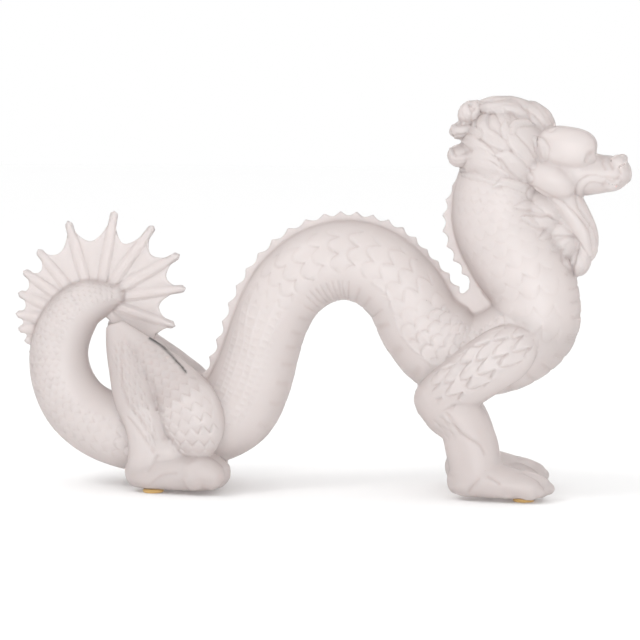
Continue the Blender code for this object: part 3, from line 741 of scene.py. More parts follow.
def shingles(row, column, power, reach, softness=0.10, line=0.08):
    """Overlapping scales in staggered rows, about 0 to 1 high, free edges facing back along.

    A scale is highest at its free edge and slopes away to its root. The free edge is drawn back
    by reach at its sides, as twice the cross distance to a power: 1 is pointed, 2 is round and
    more is square. A narrow groove runs in front of every free edge.
    """
    height = np.zeros_like(row)
    groove = np.zeros_like(row)
    base = np.floor(row)
    for step in (-1.0, 0.0, 1.0):
        number = base + step
        beside = np.mod(column - 0.5 * np.mod(number, 2.0), 1.0) - 0.5
        behind = row - number - reach * np.abs(2.0 * beside) ** power
        slope = np.clip(1.0 - SCALE_SLOPE * behind, 0.0, 1.0)
        height = np.maximum(height, slope * smooth_step(0.0, softness, behind))
        groove = np.maximum(groove, np.exp(-((behind + 0.5 * line) / line) ** 2))
    return height - SCALE_GROOVE * groove


def slow_wave(row, column, turns):
    """Sine over a field of scales, which turns so many radians for a row and for a column."""
    return np.sin(turns[0] * row + turns[1] * column)


def patchy(row, column):
    """Uneven share, 0.4 to 1, from two slow waves that cross, for a field cut unequally deep."""
    first, second = [slow_wave(row, column, turns) for turns in PATCH_WAVES]
    return PATCH_MIDDLE + PATCH_SWING * first * second


def ruts(place, width):
    """1 in the middle of a groove at every whole number, 0 between them."""
    return np.exp(-((place - np.round(place)) / width) ** 2)


def row_count(along, stations, pitch_share=1.0):
    """Count of rows up to each place, where stations give the place and the pitch there."""
    fine = np.linspace(0.0, stations[-1][0], ROW_SAMPLES)
    pitch = pitch_share * by_place(fine, stations)
    count = np.concatenate(([0.0], np.cumsum(np.diff(fine) / pitch[:-1])))
    return np.interp(along, fine, count)


def column_count(angle, radius, width):
    """Count of columns of a width around a tube, at an angle from its back."""
    return (angle - 0.5 * np.pi) * radius / width + MIDDLE_COLUMN


# %% [markdown]
# The body's scales change along it: pointed on the tail, a coarse net over the hind leg's root,
# square on the loin and rounded elsewhere. Plates cross the belly.

# %% Body scales and belly plates
# Place along the body in millimetres, and the width of a scale there
SCALE_WIDTH = (
    (0.0, 2.7), (20.0, 2.9), (60.0, 3.9), (80.0, 5.0), (105.0, 6.6), (145.0, 6.4),
    (160.0, 3.6), (195.0, 4.0), (215.0, 6.5), (235.0, 9.0), (290.0, 8.8), (312.0, 7.2),
    (335.0, 5.4), (352.0, 4.8), (368.0, 8.5), (385.0, 10.5), (402.0, 9.0), (420.0, 6.0),
    (440.0, 4.0), (452.0, 3.4),
)
# The depth of the scales
SCALE_DEPTH = (
    (0.0, 1.05), (60.0, 1.10), (80.0, 1.00), (120.0, 0.55), (150.0, 0.60), (215.0, 0.80),
    (240.0, 1.00), (290.0, 1.05), (310.0, 1.30), (348.0, 1.30), (362.0, 0.55), (410.0, 0.50),
    (440.0, 0.50),
)
# The angles from the back at which the scales begin and end
SCALES_FROM = (
    (0.0, 1.30), (50.0, 1.30), (90.0, 1.10), (150.0, 0.75), (230.0, 0.52), (300.0, 0.55),
    (345.0, 0.75), (372.0, 0.55), (450.0, 0.45),
)
SCALES_TO = (
    (0.0, 2.75), (50.0, 2.65), (80.0, 2.40), (120.0, 2.05), (150.0, 1.95), (215.0, 1.95),
    (260.0, 1.80), (300.0, 2.00), (345.0, 2.05), (372.0, 2.30), (450.0, 2.40),
)
# The angle at which the belly plates begin, their pitch and the depth of the grooves between them
PLATES_FROM = (
    (0.0, 2.30), (222.0, 2.25), (232.0, 1.95), (262.0, 1.95), (272.0, 2.10), (350.0, 2.10),
    (372.0, 2.45), (450.0, 2.50),
)
PLATE_PITCH = (
    (0.0, 9.0), (222.0, 9.0), (230.0, 3.8), (258.0, 3.8), (268.0, 10.0), (345.0, 10.0),
    (365.0, 4.6), (450.0, 4.2),
)
PLATE_GROOVE = (
    (0.0, 0.0), (150.0, 0.0), (165.0, 0.5), (228.0, 0.5), (235.0, 0.7), (262.0, 0.7),
    (270.0, 0.6), (350.0, 0.6), (372.0, 0.5), (405.0, 0.4), (420.0, 0.0),
)
PLATE_GROOVE_WIDTH = 0.12
# The plates fade towards the middle of the belly, between these angles and by this share
PLATE_FADE = (2.6, 2.95)
PLATE_FADE_SHARE = 0.7
# Length of a scale as a share of its width
BODY_ROW_SHARE = 0.84
# Power and reach of a free edge that is pointed, rounded and square
POINTED = (1.3, 0.55)
ROUNDED = (2.2, 0.55)
SQUARE = (4.5, 0.5)
# The net: its floor and height, share of the lines across, widths of both kinds of line, how far
# they wander, and the radians that their slow wave turns for a row and for a column
NET_FLOOR = 0.35
NET_HEIGHT = 1.1
NET_ACROSS_SHARE = 0.8
NET_ACROSS_WIDTH = 0.12
NET_ALONG_WIDTH = 0.13
NET_WANDER = 0.12
NET_WAVE = (0.7, 2.1)
# Places along the body between which a kind of scale comes in, and between which it goes out
TAIL_END = (75.0, 60.0)
LEG_STRETCH = ((150.0, 160.0), (225.0, 200.0))
LOIN_STRETCH = ((290.0, 306.0), (362.0, 350.0))
NECK_START = (365.0, 350.0)
# How far the scales run past their borders, and how soft the borders are, as angles
SCALES_BORDER = 0.05
SCALES_SOFT = 0.15
PLATES_SOFT = 0.15


def stretch(along, rise, fall):
    """1 along a stretch, which comes in between two places and goes out between two more."""
    return smooth_step(*rise, along) * smooth_step(*fall, along)


def net(row, column):
    """Raised lines between the rows and between the columns, which wander a little."""
    wander = NET_WANDER * slow_wave(row, column, NET_WAVE)
    across = NET_ACROSS_SHARE * ruts(row + wander, NET_ACROSS_WIDTH)
    return NET_FLOOR + NET_HEIGHT * np.maximum(across, ruts(column + 0.5 * wander, NET_ALONG_WIDTH))


def body_relief(points):
    """Scales over the sides of the body and plates under its belly, in millimetres."""
    rows = [(x, 0.0, z, half, wide) for x, z, half, wide, web in SPINE]
    chosen, along, angle, radius, share = on_tube(points, rows)
    row = row_count(along, SCALE_WIDTH, BODY_ROW_SHARE)
    column = column_count(angle, radius, by_place(along, SCALE_WIDTH))
    tail = smooth_step(*TAIL_END, along)
    leg = stretch(along, *LEG_STRETCH)
    loin = stretch(along, *LOIN_STRETCH)
    scales = (shingles(row, column, *ROUNDED) * (1.0 - tail - leg - loin)
              + shingles(row, column, *POINTED) * tail + net(row, column) * leg
              + shingles(row, column, *SQUARE) * loin)
    first = by_place(along, SCALES_FROM) - SCALES_BORDER
    last = by_place(along, SCALES_TO) + SCALES_BORDER
    field = band(angle, first, last, SCALES_SOFT)
    height = field * by_place(along, SCALE_DEPTH) * patchy(row, column) * (scales - 0.5)
    start = by_place(along, PLATES_FROM)
    belly = smooth_step(start, start + PLATES_SOFT, angle)
    middle = smooth_step(*PLATE_FADE, angle) * smooth_step(*NECK_START, along)
    belly *= 1.0 - PLATE_FADE_SHARE * middle
    plate = row_count(along, PLATE_PITCH)
    height -= belly * by_place(along, PLATE_GROOVE) * ruts(plate, PLATE_GROOVE_WIDTH)
    result = np.zeros(len(points))
    result[chosen] = height * share
    return result


# %% [markdown]
# Each limb has one field. Its pattern fills a band of angles around the limb and a stretch of its
# length, given as where the band starts, where it ends and how soft its borders are.

# %% Limb scales and feathers
# Leaf scales of the haunch: their width and depth by the way along, length as a share of the
# width, edge, field around the limb, and the places between which they come in
HAUNCH_SCALE_WIDTH = ((0.0, 3.0), (20.0, 3.6), (45.0, 4.8), (68.0, 5.6), (90.0, 6.8))
HAUNCH_DEPTH = ((0.0, 0.9), (40.0, 1.0), (85.0, 1.0))
HAUNCH_ROW_SHARE = 0.9
HAUNCH_EDGE = (1.35, 0.6)
HAUNCH_AROUND = (0.45, 2.75, 0.2)
HAUNCH_START = (8.0, 16.0)

# Fine strokes of the shin: width, length, edge with its softness and line, field and depth
STROKE_WIDTH = 2.2
STROKE_LENGTH = 5.2
STROKE_EDGE = (1.0, 1.3, 0.15, 0.12)
SHIN_LEFT = ((0.0, 1.4), (14.0, 2.2), (30.0, 2.1), (60.0, 1.5))
SHIN_RIGHT = ((0.0, 0.4), (30.0, 0.75), (60.0, 1.0))
SHIN_SOFT = 0.15
SHIN_STRETCH = (5.0, 64.0, 6.0)
STROKE_DEPTH = 0.6
# Radians that the ragged ends of strokes and feathers turn for a column, and how far they run
# ahead of each other, in rows
STROKE_WAVE = 2.3
FEATHER_WAVE = 1.9
RAGGEDNESS = 0.3

# Feathers: their length and the place that the rows count back from, then what each limb has
FEATHER_LENGTH = 9.0
FEATHER_START = 90.0
ARM_FEATHER_WIDTH = 6.0
ARM_EDGE = (2.6, 0.7, 0.12)
ARM_AROUND = (0.95, 2.75, 0.2)
ARM_STRETCH = (0.0, 55.0, 6.0)
ARM_DEPTH = 1.25
FOREARM_FEATHER_WIDTH = 3.6
FOREARM_EDGE = (2.0, 1.0, 0.15)
FOREARM_AROUND = (1.5, 2.6, 0.25)
FOREARM_STRETCH = (6.0, 27.0, 6.0)
FOREARM_DEPTH = 0.6


def limb_field(points, rows, pattern):
    """Relief of one limb: a pattern of the way along, the angle and the radius."""
    chosen, along, angle, radius, share = on_tube(points, rows)
    result = np.zeros(len(points))
    result[chosen] = pattern(along, angle, radius) * share
    return result


def haunch_pattern(along, angle, radius):
    """Pointed leaf scales, small under the peak and large at the bottom of the haunch."""
    row = row_count(along, HAUNCH_SCALE_WIDTH, HAUNCH_ROW_SHARE)
    column = column_count(angle, radius, by_place(along, HAUNCH_SCALE_WIDTH))
    leaves = shingles(row, column, *HAUNCH_EDGE) * patchy(row, column)
    field = band(angle, *HAUNCH_AROUND) * smooth_step(*HAUNCH_START, along)
    return field * by_place(along, HAUNCH_DEPTH) * (leaves - 0.5)


def shin_pattern(along, angle, radius):
    """Fine leaf strokes down the shin, on a field between two smooth bands."""
    column = column_count(angle, radius, STROKE_WIDTH)
    row = along / STROKE_LENGTH + RAGGEDNESS * np.sin(STROKE_WAVE * column)
    sides = band(angle, by_place(along, SHIN_RIGHT), by_place(along, SHIN_LEFT), SHIN_SOFT)
    field = sides * band(along, *SHIN_STRETCH)
    return field * STROKE_DEPTH * (shingles(row, column, *STROKE_EDGE) - 0.5)


def arm_pattern(along, angle, radius):
    """Long overlapping feathers on the shoulder, with their ends towards the elbow."""
    column = column_count(angle, radius, ARM_FEATHER_WIDTH)
    row = (FEATHER_START - along) / FEATHER_LENGTH + RAGGEDNESS * np.sin(FEATHER_WAVE * column)
    field = band(angle, *ARM_AROUND) * band(along, *ARM_STRETCH)
    return field * ARM_DEPTH * (shingles(row, column, *ARM_EDGE) - 0.5)


def forearm_pattern(along, angle, radius):
    """Soft narrow feathers on the front of the forearm."""
    column = column_count(angle, radius, FOREARM_FEATHER_WIDTH)
    row = (FEATHER_START - along) / FEATHER_LENGTH
    field = band(angle, *FOREARM_AROUND) * band(along, *FOREARM_STRETCH)
    return field * FOREARM_DEPTH * (shingles(row, column, *FOREARM_EDGE) - 0.5)


# %% [markdown]
# The rest of the relief is drawn in the side view: locks of hair, flat ribs on the fan, carved or
# raised lines, and one shallow cut that is painted dark as a line of shade. All but that line of
# shade is on both sides.

# %% Locks, ribs and lines
# Kind of piece that carries the line, width, height (negative is cut), then x and height of points
LINES = (
    ("body", 0.9, 0.7, ((29.5, 102.0), (36.0, 96.5), (39.5, 88.0), (41.5, 80.0), (46.5, 73.0),
                        (52.5, 67.5), (57.0, 64.0), (62.5, 63.5))),
    ("arm", 0.6, -0.6, ((65.5, 41.5), (70.0, 35.0), (76.5, 29.5), (81.5, 26.5), (83.5, 22.5))),
    ("arm", 0.6, -0.6, ((81.0, 11.0), (78.5, 8.0), (76.0, 4.0))),
    ("arm", 0.6, -0.6, ((85.5, 12.0), (88.0, 11.0), (90.5, 9.0))),
    ("shin", 0.7, -0.6, ((-92.5, 71.5), (-90.5, 51.5), (-88.0, 43.5), (-83.0, 38.0),
                         (-77.0, 30.0), (-74.0, 26.0))),
    ("shin", 0.7, -0.5, ((-88.0, 36.5), (-80.5, 27.5), (-75.5, 20.0))),
    ("shin", 0.7, -0.5, ((-73.5, 18.0), (-75.5, 14.5), (-77.5, 11.0))),
    ("shin", 0.7, -0.5, ((-77.5, 3.5), (-74.5, 7.0), (-71.0, 9.5), (-64.0, 10.5))),
    ("body", 0.9, -1.0, ((129.0, 160.0), (130.5, 163.5), (133.5, 164.5), (135.5, 161.5))),
    ("body", 0.7, -0.7, ((137.5, 164.0), (136.5, 160.0), (138.0, 156.5))),
    ("body", 0.7, -0.7, ((141.0, 163.5), (140.0, 160.0), (141.5, 156.5))),
    ("body", 0.7, -0.6, ((144.5, 152.5), (141.5, 150.5), (138.5, 151.5), (137.0, 148.5))),
    ("body", 0.6, -0.6, ((147.0, 158.5), (144.5, 157.0), (145.5, 154.0))),
)
# How far back the far side's forms stand, for each kind of piece that carries relief
SETBACKS = {
    "body": (1.0, 0.0, 0.0, 0.0),
    "haunch": FAR_HAUNCH_SETBACK,
    "shin": FAR_SHIN_SETBACK,
    "arm": FAR_FORE_LIMB_SETBACK,
}
LINE_SAMPLES = 60
# A line counts for the points up to this many of its widths away
LINE_REACH = 4.0
# A line of painted shade near the top of the near haunch, also cut shallow: half width, depth, x and
# height of points
SHADE_LINE_HALF_WIDTH = 0.45
SHADE_LINE_DEPTH = 0.3
SHADE_LINE_POINTS = ((-79.5, 73.6), (-74.5, 70.6), (-68.5, 66.0), (-63.5, 61.5), (-60.2, 58.2))

# Half width, height and strands of the flat ribs that run along the fan's rays
FAN_RIB = (2.7, 0.6, 2)
# The ribs lie on the thin fan only: half thickness at which they end, and at which they are full
FAN_SKIN = (4.5, 3.0)
# How far the skin has to be turned sideways for relief to come in, and for the full relief
TURNED_OUT = (0.05, 0.35)
FACING = (0.25, 0.6)
# Across a lock, in half widths: how far it reaches, where its side falls away, and where the
# groove beside it lies, with that groove's width
LOCK_REACH = 1.6
LOCK_SIDE = (1.05, 0.88)
LOCK_EDGE_PLACE = 1.15
LOCK_EDGE_WIDTH = 0.14
# A lock's height at its sides as a share of its middle, and the power that rounds it
LOCK_SIDE_SHARE = 0.35
LOCK_ROUNDNESS = 0.6


def near_side(points, heights):
    """Points of both sides as if on the near side, with the far limbs drawn forward again."""
    moved = points.copy()
    moved[:, 0] += np.where(points[:, 1] > 0.0, setback(points, *heights), 0.0)
    moved[:, 1] = -np.abs(points[:, 1])
    return moved


def nearest_on_line(points, places, reach):
    """Points near a curve in the side view.

    Returns their places in the list, their distance from the curve, and the share of the curve
    that lies behind them.
    """
    path = spline([(x, 0.0, z) for x, z in places], LINE_SAMPLES)[:, [0, 2]]
    front = points[:, [0, 2]]
    chosen = close_to(front, path, reach)
    gaps = np.linalg.norm(front[chosen][:, None, :] - path[None], axis=2)
    nearest = gaps.argmin(axis=1)
    return chosen, gaps[np.arange(len(chosen)), nearest], nearest / (LINE_SAMPLES - 1.0)


def lock_relief(points, facing, locks):
    """Locks of hair: each a low dome across, higher towards its tip, with fine strands along it."""
    result = np.zeros(len(points))
    for half_width, lock_height, strands, places in locks:
        chosen, gap, share = nearest_on_line(points, places, LOCK_REACH * half_width)
        across = gap / (half_width * by_place(share, LOCK_WIDTHS))
        dome = np.clip(1.0 - across ** 2, 0.0, 1.0) ** LOCK_ROUNDNESS
        strand = 0.5 - 0.5 * np.cos(2.0 * np.pi * strands * across)
        round_top = LOCK_SIDE_SHARE + (1.0 - LOCK_SIDE_SHARE) * dome
        top = lock_height * by_place(share, LOCK_HEIGHTS) * round_top
        top -= LOCK_STRAND_DEPTH * strand * dome
        over = smooth_step(*LOCK_SIDE, across)
        edge = LOCK_EDGE_DEPTH * np.exp(-((across - LOCK_EDGE_PLACE) / LOCK_EDGE_WIDTH) ** 2)
        result[chosen] = (result[chosen] - edge) * (1.0 - over) + top * over
    return result * facing


def drawn(points, places, width):
    """1 on a line in the side view, and less beside it by a bell curve of its width."""
    chosen, gap, behind = nearest_on_line(points, places, LINE_REACH * width)
    result = np.zeros(len(points))
    result[chosen] = np.exp(-(gap / width) ** 2)
    return result


def on_shade_line(points, normals):
    """1 in the middle of the line of painted shade, 0 away from it and on the far side."""
    on_near_side = (normals[:, 1] < 0.0) & (points[:, 1] < 0.0)
    return drawn(points, SHADE_LINE_POINTS, SHADE_LINE_HALF_WIDTH) * on_near_side


def relief(points, normals):
    """Height of all the relief over each point of the skin."""
    sideways = np.abs(normals[:, 1])
    facing = smooth_step(*FACING, sideways)
    turned_out = smooth_step(*TURNED_OUT, sideways)
    on = {piece: near_side(points, heights) for piece, heights in SETBACKS.items()}
    height = body_relief(on["body"])
    height += limb_field(on["haunch"], THIGH, haunch_pattern)
    height += limb_field(on["shin"], SHIN, shin_pattern)
    height += limb_field(on["arm"], UPPER_ARM, arm_pattern) * turned_out
    height += limb_field(on["arm"], FOREARM, forearm_pattern) * facing
    height += lock_relief(points, turned_out, HAIR)
    ribs = [FAN_RIB + (((bx, bz), (tx, tz)),) for tx, tz, bx, bz, scallop in FAN_RAYS]
    height += lock_relief(points, facing * smooth_step(*FAN_SKIN, np.abs(points[:, 1])), ribs)
    for piece, width, line_height, places in LINES:
        height += line_height * drawn(on[piece], places, width) * facing
    # The line of painted shade is also cut shallow
    return height - SHADE_LINE_DEPTH * on_shade_line(points, normals)


# %% [markdown]
# The skin's points are moved along their normals by the height of the relief.

# %% Relief on the skin
def points_and_normals(mesh):
    """Points of a mesh in millimetres over the soles, and its point normals."""
    places = np.empty(len(mesh.vertices) * 3)
    normals = np.empty(len(mesh.vertices) * 3)
    mesh.vertices.foreach_get("co", places)
    mesh.vertex_normals.foreach_get("vector", normals)
    places = places.reshape(-1, 3) / UNIT
    places[:, 2] += SOLE_CUT - SOLE_HEIGHT / UNIT
    return places, normals.reshape(-1, 3)


def move_points(mesh, places):
    """Put a mesh's points at places in millimetres over the soles."""
    metres = places.copy()
    metres[:, 2] -= SOLE_CUT - SOLE_HEIGHT / UNIT
    mesh.vertices.foreach_set("co", (metres * UNIT).ravel())
    mesh.update()


places, normals = points_and_normals(skin_mesh)
height = relief(places, normals)
move_points(skin_mesh, places + normals * height[:, None])
print("relief from", round(height.min(), 2), "to", round(height.max(), 2), "mm")


# %% [markdown]
# ## Thinning and flat soles
#
# The skin is thinned to the triangles that the relief needs, then the feet are cut flat.

# %% Thinning
# Shares of a polished mass's radius at which its polish comes in, and at which it is full
POLISH_EDGE = (1.05, 0.8)
# Half thickness at which a part begins to get the painted light of thin crystal that light shines
# through, and at which it gets it fully, then the same for how far its skin is turned sideways
SHINE_THROUGH_HALF = (3.6, 2.4)
SHINE_THROUGH_FACING = (0.4, 0.8)


def thinned(mesh, triangles):
    """The same mesh with about so many triangles left."""
    draft = linked("draft", mesh)
    thin = draft.modifiers.new("thin", "DECIMATE")
    thin.ratio = min(1.0, triangles / (2.0 * len(mesh.polygons)))
    return carried_out(draft)


def flatten_soles(mesh):
    """Cut the feet flat at the height of the soles and close the cuts."""
    work = bmesh.new()
    work.from_mesh(mesh)
    everything = work.verts[:] + work.edges[:] + work.faces[:]
    bmesh.ops.bisect_plane(
        work, geom=everything, plane_co=(0.0, 0.0, SOLE_HEIGHT), plane_no=(0.0, 0.0, 1.0),
        clear_inner=True)
    border = [edge for edge in work.edges if edge.is_boundary]
    bmesh.ops.triangle_fill(work, edges=border, use_beauty=True, normal=(0.0, 0.0, -1.0))
    bmesh.ops.triangulate(work, faces=work.faces[:])
    bmesh.ops.recalc_face_normals(work, faces=work.faces[:])
    work.to_mesh(mesh)
    work.free()


def within(points, mass):
    """1 for points on or in a rounded mass of either side, 0 away from it, with a soft border."""
    x, y, z, long, wide, high, angle = mass
    tilt = np.radians(angle)
    ahead = (points[:, 0] - x) * np.cos(tilt) + (points[:, 2] - z) * np.sin(tilt)
    up = (points[:, 2] - z) * np.cos(tilt) - (points[:, 0] - x) * np.sin(tilt)
    out = np.abs(points[:, 1]) + y
    radius = np.sqrt((ahead / long) ** 2 + (out / wide) ** 2 + (up / high) ** 2)
    return smooth_step(*POLISH_EDGE, radius)


def point_value(mesh, name, values):
    """Give each point of a mesh a value that the nodes of its material read by name."""
    mesh.attributes.new(name, "FLOAT", "POINT").data.foreach_set("value", values)


figure_mesh = thinned(skin_mesh, TRIANGLES)
flatten_soles(figure_mesh)
places, normals = points_and_normals(figure_mesh)
# Share of painted light on thin plates, as though light shone through them
shine_through_share = smooth_step(*SHINE_THROUGH_HALF, np.abs(places[:, 1]))
shine_through_share *= smooth_step(*SHINE_THROUGH_FACING, np.abs(normals[:, 1]))
point_value(figure_mesh, "carving", relief(places, normals))
point_value(figure_mesh, "thin", shine_through_share)
# Share of the line of painted shade near the top of the near haunch
point_value(figure_mesh, "shade_line", on_shade_line(places, normals))
point_value(figure_mesh, "polish", np.max([within(places, mass) for mass in POLISHED_MASSES], axis=0))
figure_mesh.name = "dragon_figure"
figure_mesh.shade_smooth()
figure = linked("dragon_figure", figure_mesh)
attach(figure, "root")
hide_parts("dragon")
print("triangles", len(figure_mesh.polygons))


# %% [markdown]
# The amber pads are round dots, a little rounded at both rims.

# %% Foot pads
PAD_EDGE = 0.35
PAD_SEGMENTS = 64
PAD_EDGE_STEPS = 4
# Edges with more than this angle between their faces are rims, in radians
RIM_ANGLE = 1.0


def pad_piece(node):
    """Soft bumper dot with a rounded rim, on the place of its solid."""
    low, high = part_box(node)
    radius = 0.5 * (high.x - low.x)
    thickness = high.z - low.z
    mesh = bpy.data.meshes.new(node + "_dot")
    work = bmesh.new()
    bmesh.ops.create_cone(
        work, cap_ends=True, segments=PAD_SEGMENTS, radius1=radius, radius2=radius,
        depth=thickness)
    rim = [edge for edge in work.edges if len(edge.link_faces) == 2
           and edge.link_faces[0].normal.angle(edge.link_faces[1].normal) > RIM_ANGLE]
    bmesh.ops.bevel(
        work, geom=rim, offset=PAD_EDGE * UNIT, segments=PAD_EDGE_STEPS, affect="EDGES")
    bmesh.ops.translate(work, verts=work.verts[:], vec=0.5 * (low + high))
    work.to_mesh(mesh)
    work.free()
    mesh.shade_smooth()
    pad = linked(node + "_dot", mesh)
    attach(pad, "root")
    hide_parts(node)
    return pad


pads = [pad_piece(node) for node in sorted(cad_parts) if node.startswith("foot_pad")]
print(len(pads), "foot pads")


# %% [markdown]
# ## Finishes
#
# The crystal is a milky, frosted glass: plain transmission with a rough surface, a little light
# carried under it, and a very fine etched grain. Its colour holds painted shade in the grooves, at
# the rims and on one dark line, and painted light on the thin parts. The pads are amber soft plastic.

# %% Crystal
CRYSTAL_COLOUR = (0.75, 0.69, 0.675, 1.0)
CRYSTAL_CLOUD_COLOUR = (0.84, 0.785, 0.77, 1.0)
# Painted shade: the colour that darkens the grooves and the low roots of the scales
CRYSTAL_GROOVE_SHADE_COLOUR = (0.72, 0.645, 0.625, 1.0)
# Painted shade on the rims that are seen at a flat angle
CRYSTAL_RIM_SHADE_COLOUR = (0.64, 0.54, 0.515, 1.0)
# Painted light: the lighter colour of thin plates, as though light shone through them
CRYSTAL_SHINE_THROUGH_COLOUR = (0.79, 0.725, 0.71, 1.0)
# Painted shade: the near-black colour of the dark line near the top of the near haunch
CRYSTAL_SHADE_LINE_COLOUR = (0.02, 0.02, 0.02, 1.0)
CRYSTAL_ROUGHNESS = 0.42
POLISHED_ROUGHNESS = 0.18
CRYSTAL_TRANSMISSION = 0.5
CRYSTAL_MILKINESS = 0.5
# How deep light is carried under the skin, in metres, and how that differs for red, green and blue
MILK_DEPTH = 0.006
MILK_SPREAD = (1.0, 0.9, 0.85)
CRYSTAL_INDEX = 1.52
# How far the painted shade of the rims reaches in from the silhouette
RIM_SHADE_BLEND = 0.25
# Relief heights in millimetres at which the painted shade of the grooves is full, and at which it
# ends
DEEP_CARVING = -0.7
LEVEL_CARVING = 0.05
# The etched grain: scale, strength and height in metres, and the scale of its clouds
GRAIN_SCALE = 1400.0
GRAIN_STRENGTH = 0.12
GRAIN_DETAIL = 2.0
GRAIN_HEIGHT = 0.00015
CLOUD_SCALE = 35.0
CLOUD_DETAIL = 3.0


def node_group(name, inputs, outputs):
    """New shader node group with named sockets, and its input and output nodes."""
    group = bpy.data.node_groups.new(name, "ShaderNodeTree")
    for socket, kind, value in inputs:
        made = group.interface.new_socket(socket, in_out="INPUT", socket_type=kind)
        made.default_value = value
    for socket, kind in outputs:
        group.interface.new_socket(socket, in_out="OUTPUT", socket_type=kind)
    return group, group.nodes.new("NodeGroupInput"), group.nodes.new("NodeGroupOutput")


def etched_grain():
    """Fine even grain of etched glass: a normal, and a value for its patchy strength."""
    group, given, result = node_group(
        "etched_grain",
        (("Scale", "NodeSocketFloat", GRAIN_SCALE), ("Strength", "NodeSocketFloat", GRAIN_STRENGTH)),
        (("Normal", "NodeSocketVector"), ("Patch", "NodeSocketFloat")))
    place = group.nodes.new("ShaderNodeTexCoord")
    grain = group.nodes.new("ShaderNodeTexNoise")
    grain.inputs["Detail"].default_value = GRAIN_DETAIL
    bump = group.nodes.new("ShaderNodeBump")
    bump.inputs["Distance"].default_value = GRAIN_HEIGHT
    patch = group.nodes.new("ShaderNodeTexNoise")
    patch.inputs["Scale"].default_value = CLOUD_SCALE
    patch.inputs["Detail"].default_value = CLOUD_DETAIL
    link = group.links.new
    link(place.outputs["Object"], grain.inputs["Vector"])
    link(given.outputs["Scale"], grain.inputs["Scale"])
    link(grain.outputs["Fac"], bump.inputs["Height"])
    link(given.outputs["Strength"], bump.inputs["Strength"])
    link(place.outputs["Object"], patch.inputs["Vector"])
    link(bump.outputs["Normal"], result.inputs["Normal"])
    link(patch.outputs["Fac"], result.inputs["Patch"])
    return group


def new_material(name):
    """New material: itself, its node tree and its shader."""
    material = bpy.data.materials.new(name)
    material.use_nodes = True
    return material, material.node_tree, material.node_tree.nodes["Principled BSDF"]


def value_of(tree, name):
    """Output with the value that the mesh's points have under a name."""
    attribute = tree.nodes.new("ShaderNodeAttribute")
    attribute.attribute_name = name
    return attribute.outputs["Fac"]


def mixed(tree, share, first, second):
    """Output with a colour between two, each a plain colour or another output."""
    mix = tree.nodes.new("ShaderNodeMix")
    mix.data_type = "RGBA"
    tree.links.new(share, mix.inputs["Factor"])
    for socket, colour in (("A", first), ("B", second)):
        if isinstance(colour, tuple):
            mix.inputs[socket].default_value = colour
        else:
            tree.links.new(colour, mix.inputs[socket])
    return mix.outputs["Result"]


def crystal_material():
    """Milky frosted crystal.

    Its colour is mixed in steps: clear or cloudy, then painted shade in the grooves, painted light on
    the thin parts as though light shone through them, painted shade on the rims that are seen at a
    flat angle, and a painted dark line of shade.
    """
    material, tree, shader = new_material("frosted crystal")
    shader.inputs["IOR"].default_value = CRYSTAL_INDEX
    shader.inputs["Transmission Weight"].default_value = CRYSTAL_TRANSMISSION
    shader.inputs["Metallic"].default_value = 0.0
    shader.inputs["Subsurface Weight"].default_value = CRYSTAL_MILKINESS
    shader.inputs["Subsurface Radius"].default_value = MILK_SPREAD
    shader.inputs["Subsurface Scale"].default_value = MILK_DEPTH
    grain = tree.nodes.new("ShaderNodeGroup")
    grain.node_tree = etched_grain()
    tree.links.new(grain.outputs["Normal"], shader.inputs["Normal"])
    depth = tree.nodes.new("ShaderNodeMapRange")
    depth.inputs["From Min"].default_value = DEEP_CARVING
    depth.inputs["From Max"].default_value = LEVEL_CARVING
    tree.links.new(value_of(tree, "carving"), depth.inputs["Value"])
    edge = tree.nodes.new("ShaderNodeLayerWeight")
    edge.inputs["Blend"].default_value = RIM_SHADE_BLEND
    colour = mixed(tree, grain.outputs["Patch"], CRYSTAL_COLOUR, CRYSTAL_CLOUD_COLOUR)
    # Painted shade in the grooves and at the low roots of the scales, by the depth of the carving
    colour = mixed(tree, depth.outputs["Result"], CRYSTAL_GROOVE_SHADE_COLOUR, colour)
    # Painted light on the thin plates, as though light shone through them
    colour = mixed(tree, value_of(tree, "thin"), colour, CRYSTAL_SHINE_THROUGH_COLOUR)
    # Painted shade on the rims that are seen at a flat angle
    colour = mixed(tree, edge.outputs["Facing"], colour, CRYSTAL_RIM_SHADE_COLOUR)
    # Painted shade: the dark line near the top of the near haunch
    colour = mixed(tree, value_of(tree, "shade_line"), colour, CRYSTAL_SHADE_LINE_COLOUR)
    tree.links.new(colour, shader.inputs["Base Color"])
    smoothed = tree.nodes.new("ShaderNodeMapRange")
    smoothed.inputs["To Min"].default_value = CRYSTAL_ROUGHNESS
    smoothed.inputs["To Max"].default_value = POLISHED_ROUGHNESS
    tree.links.new(value_of(tree, "polish"), smoothed.inputs["Value"])
    tree.links.new(smoothed.outputs["Result"], shader.inputs["Roughness"])
    return material


figure_mesh.materials.append(crystal_material())


# %% [markdown]
# The pads share the etched grain, a little coarser and without any carving.

# %% Amber pads
PAD_COLOUR = (0.90, 0.56, 0.20, 1.0)
PAD_LIGHT_COLOUR = (0.98, 0.70, 0.30, 1.0)
PAD_ROUGHNESS = 0.45
PAD_TRANSMISSION = 0.25
PAD_GRAIN_SCALE = 900.0


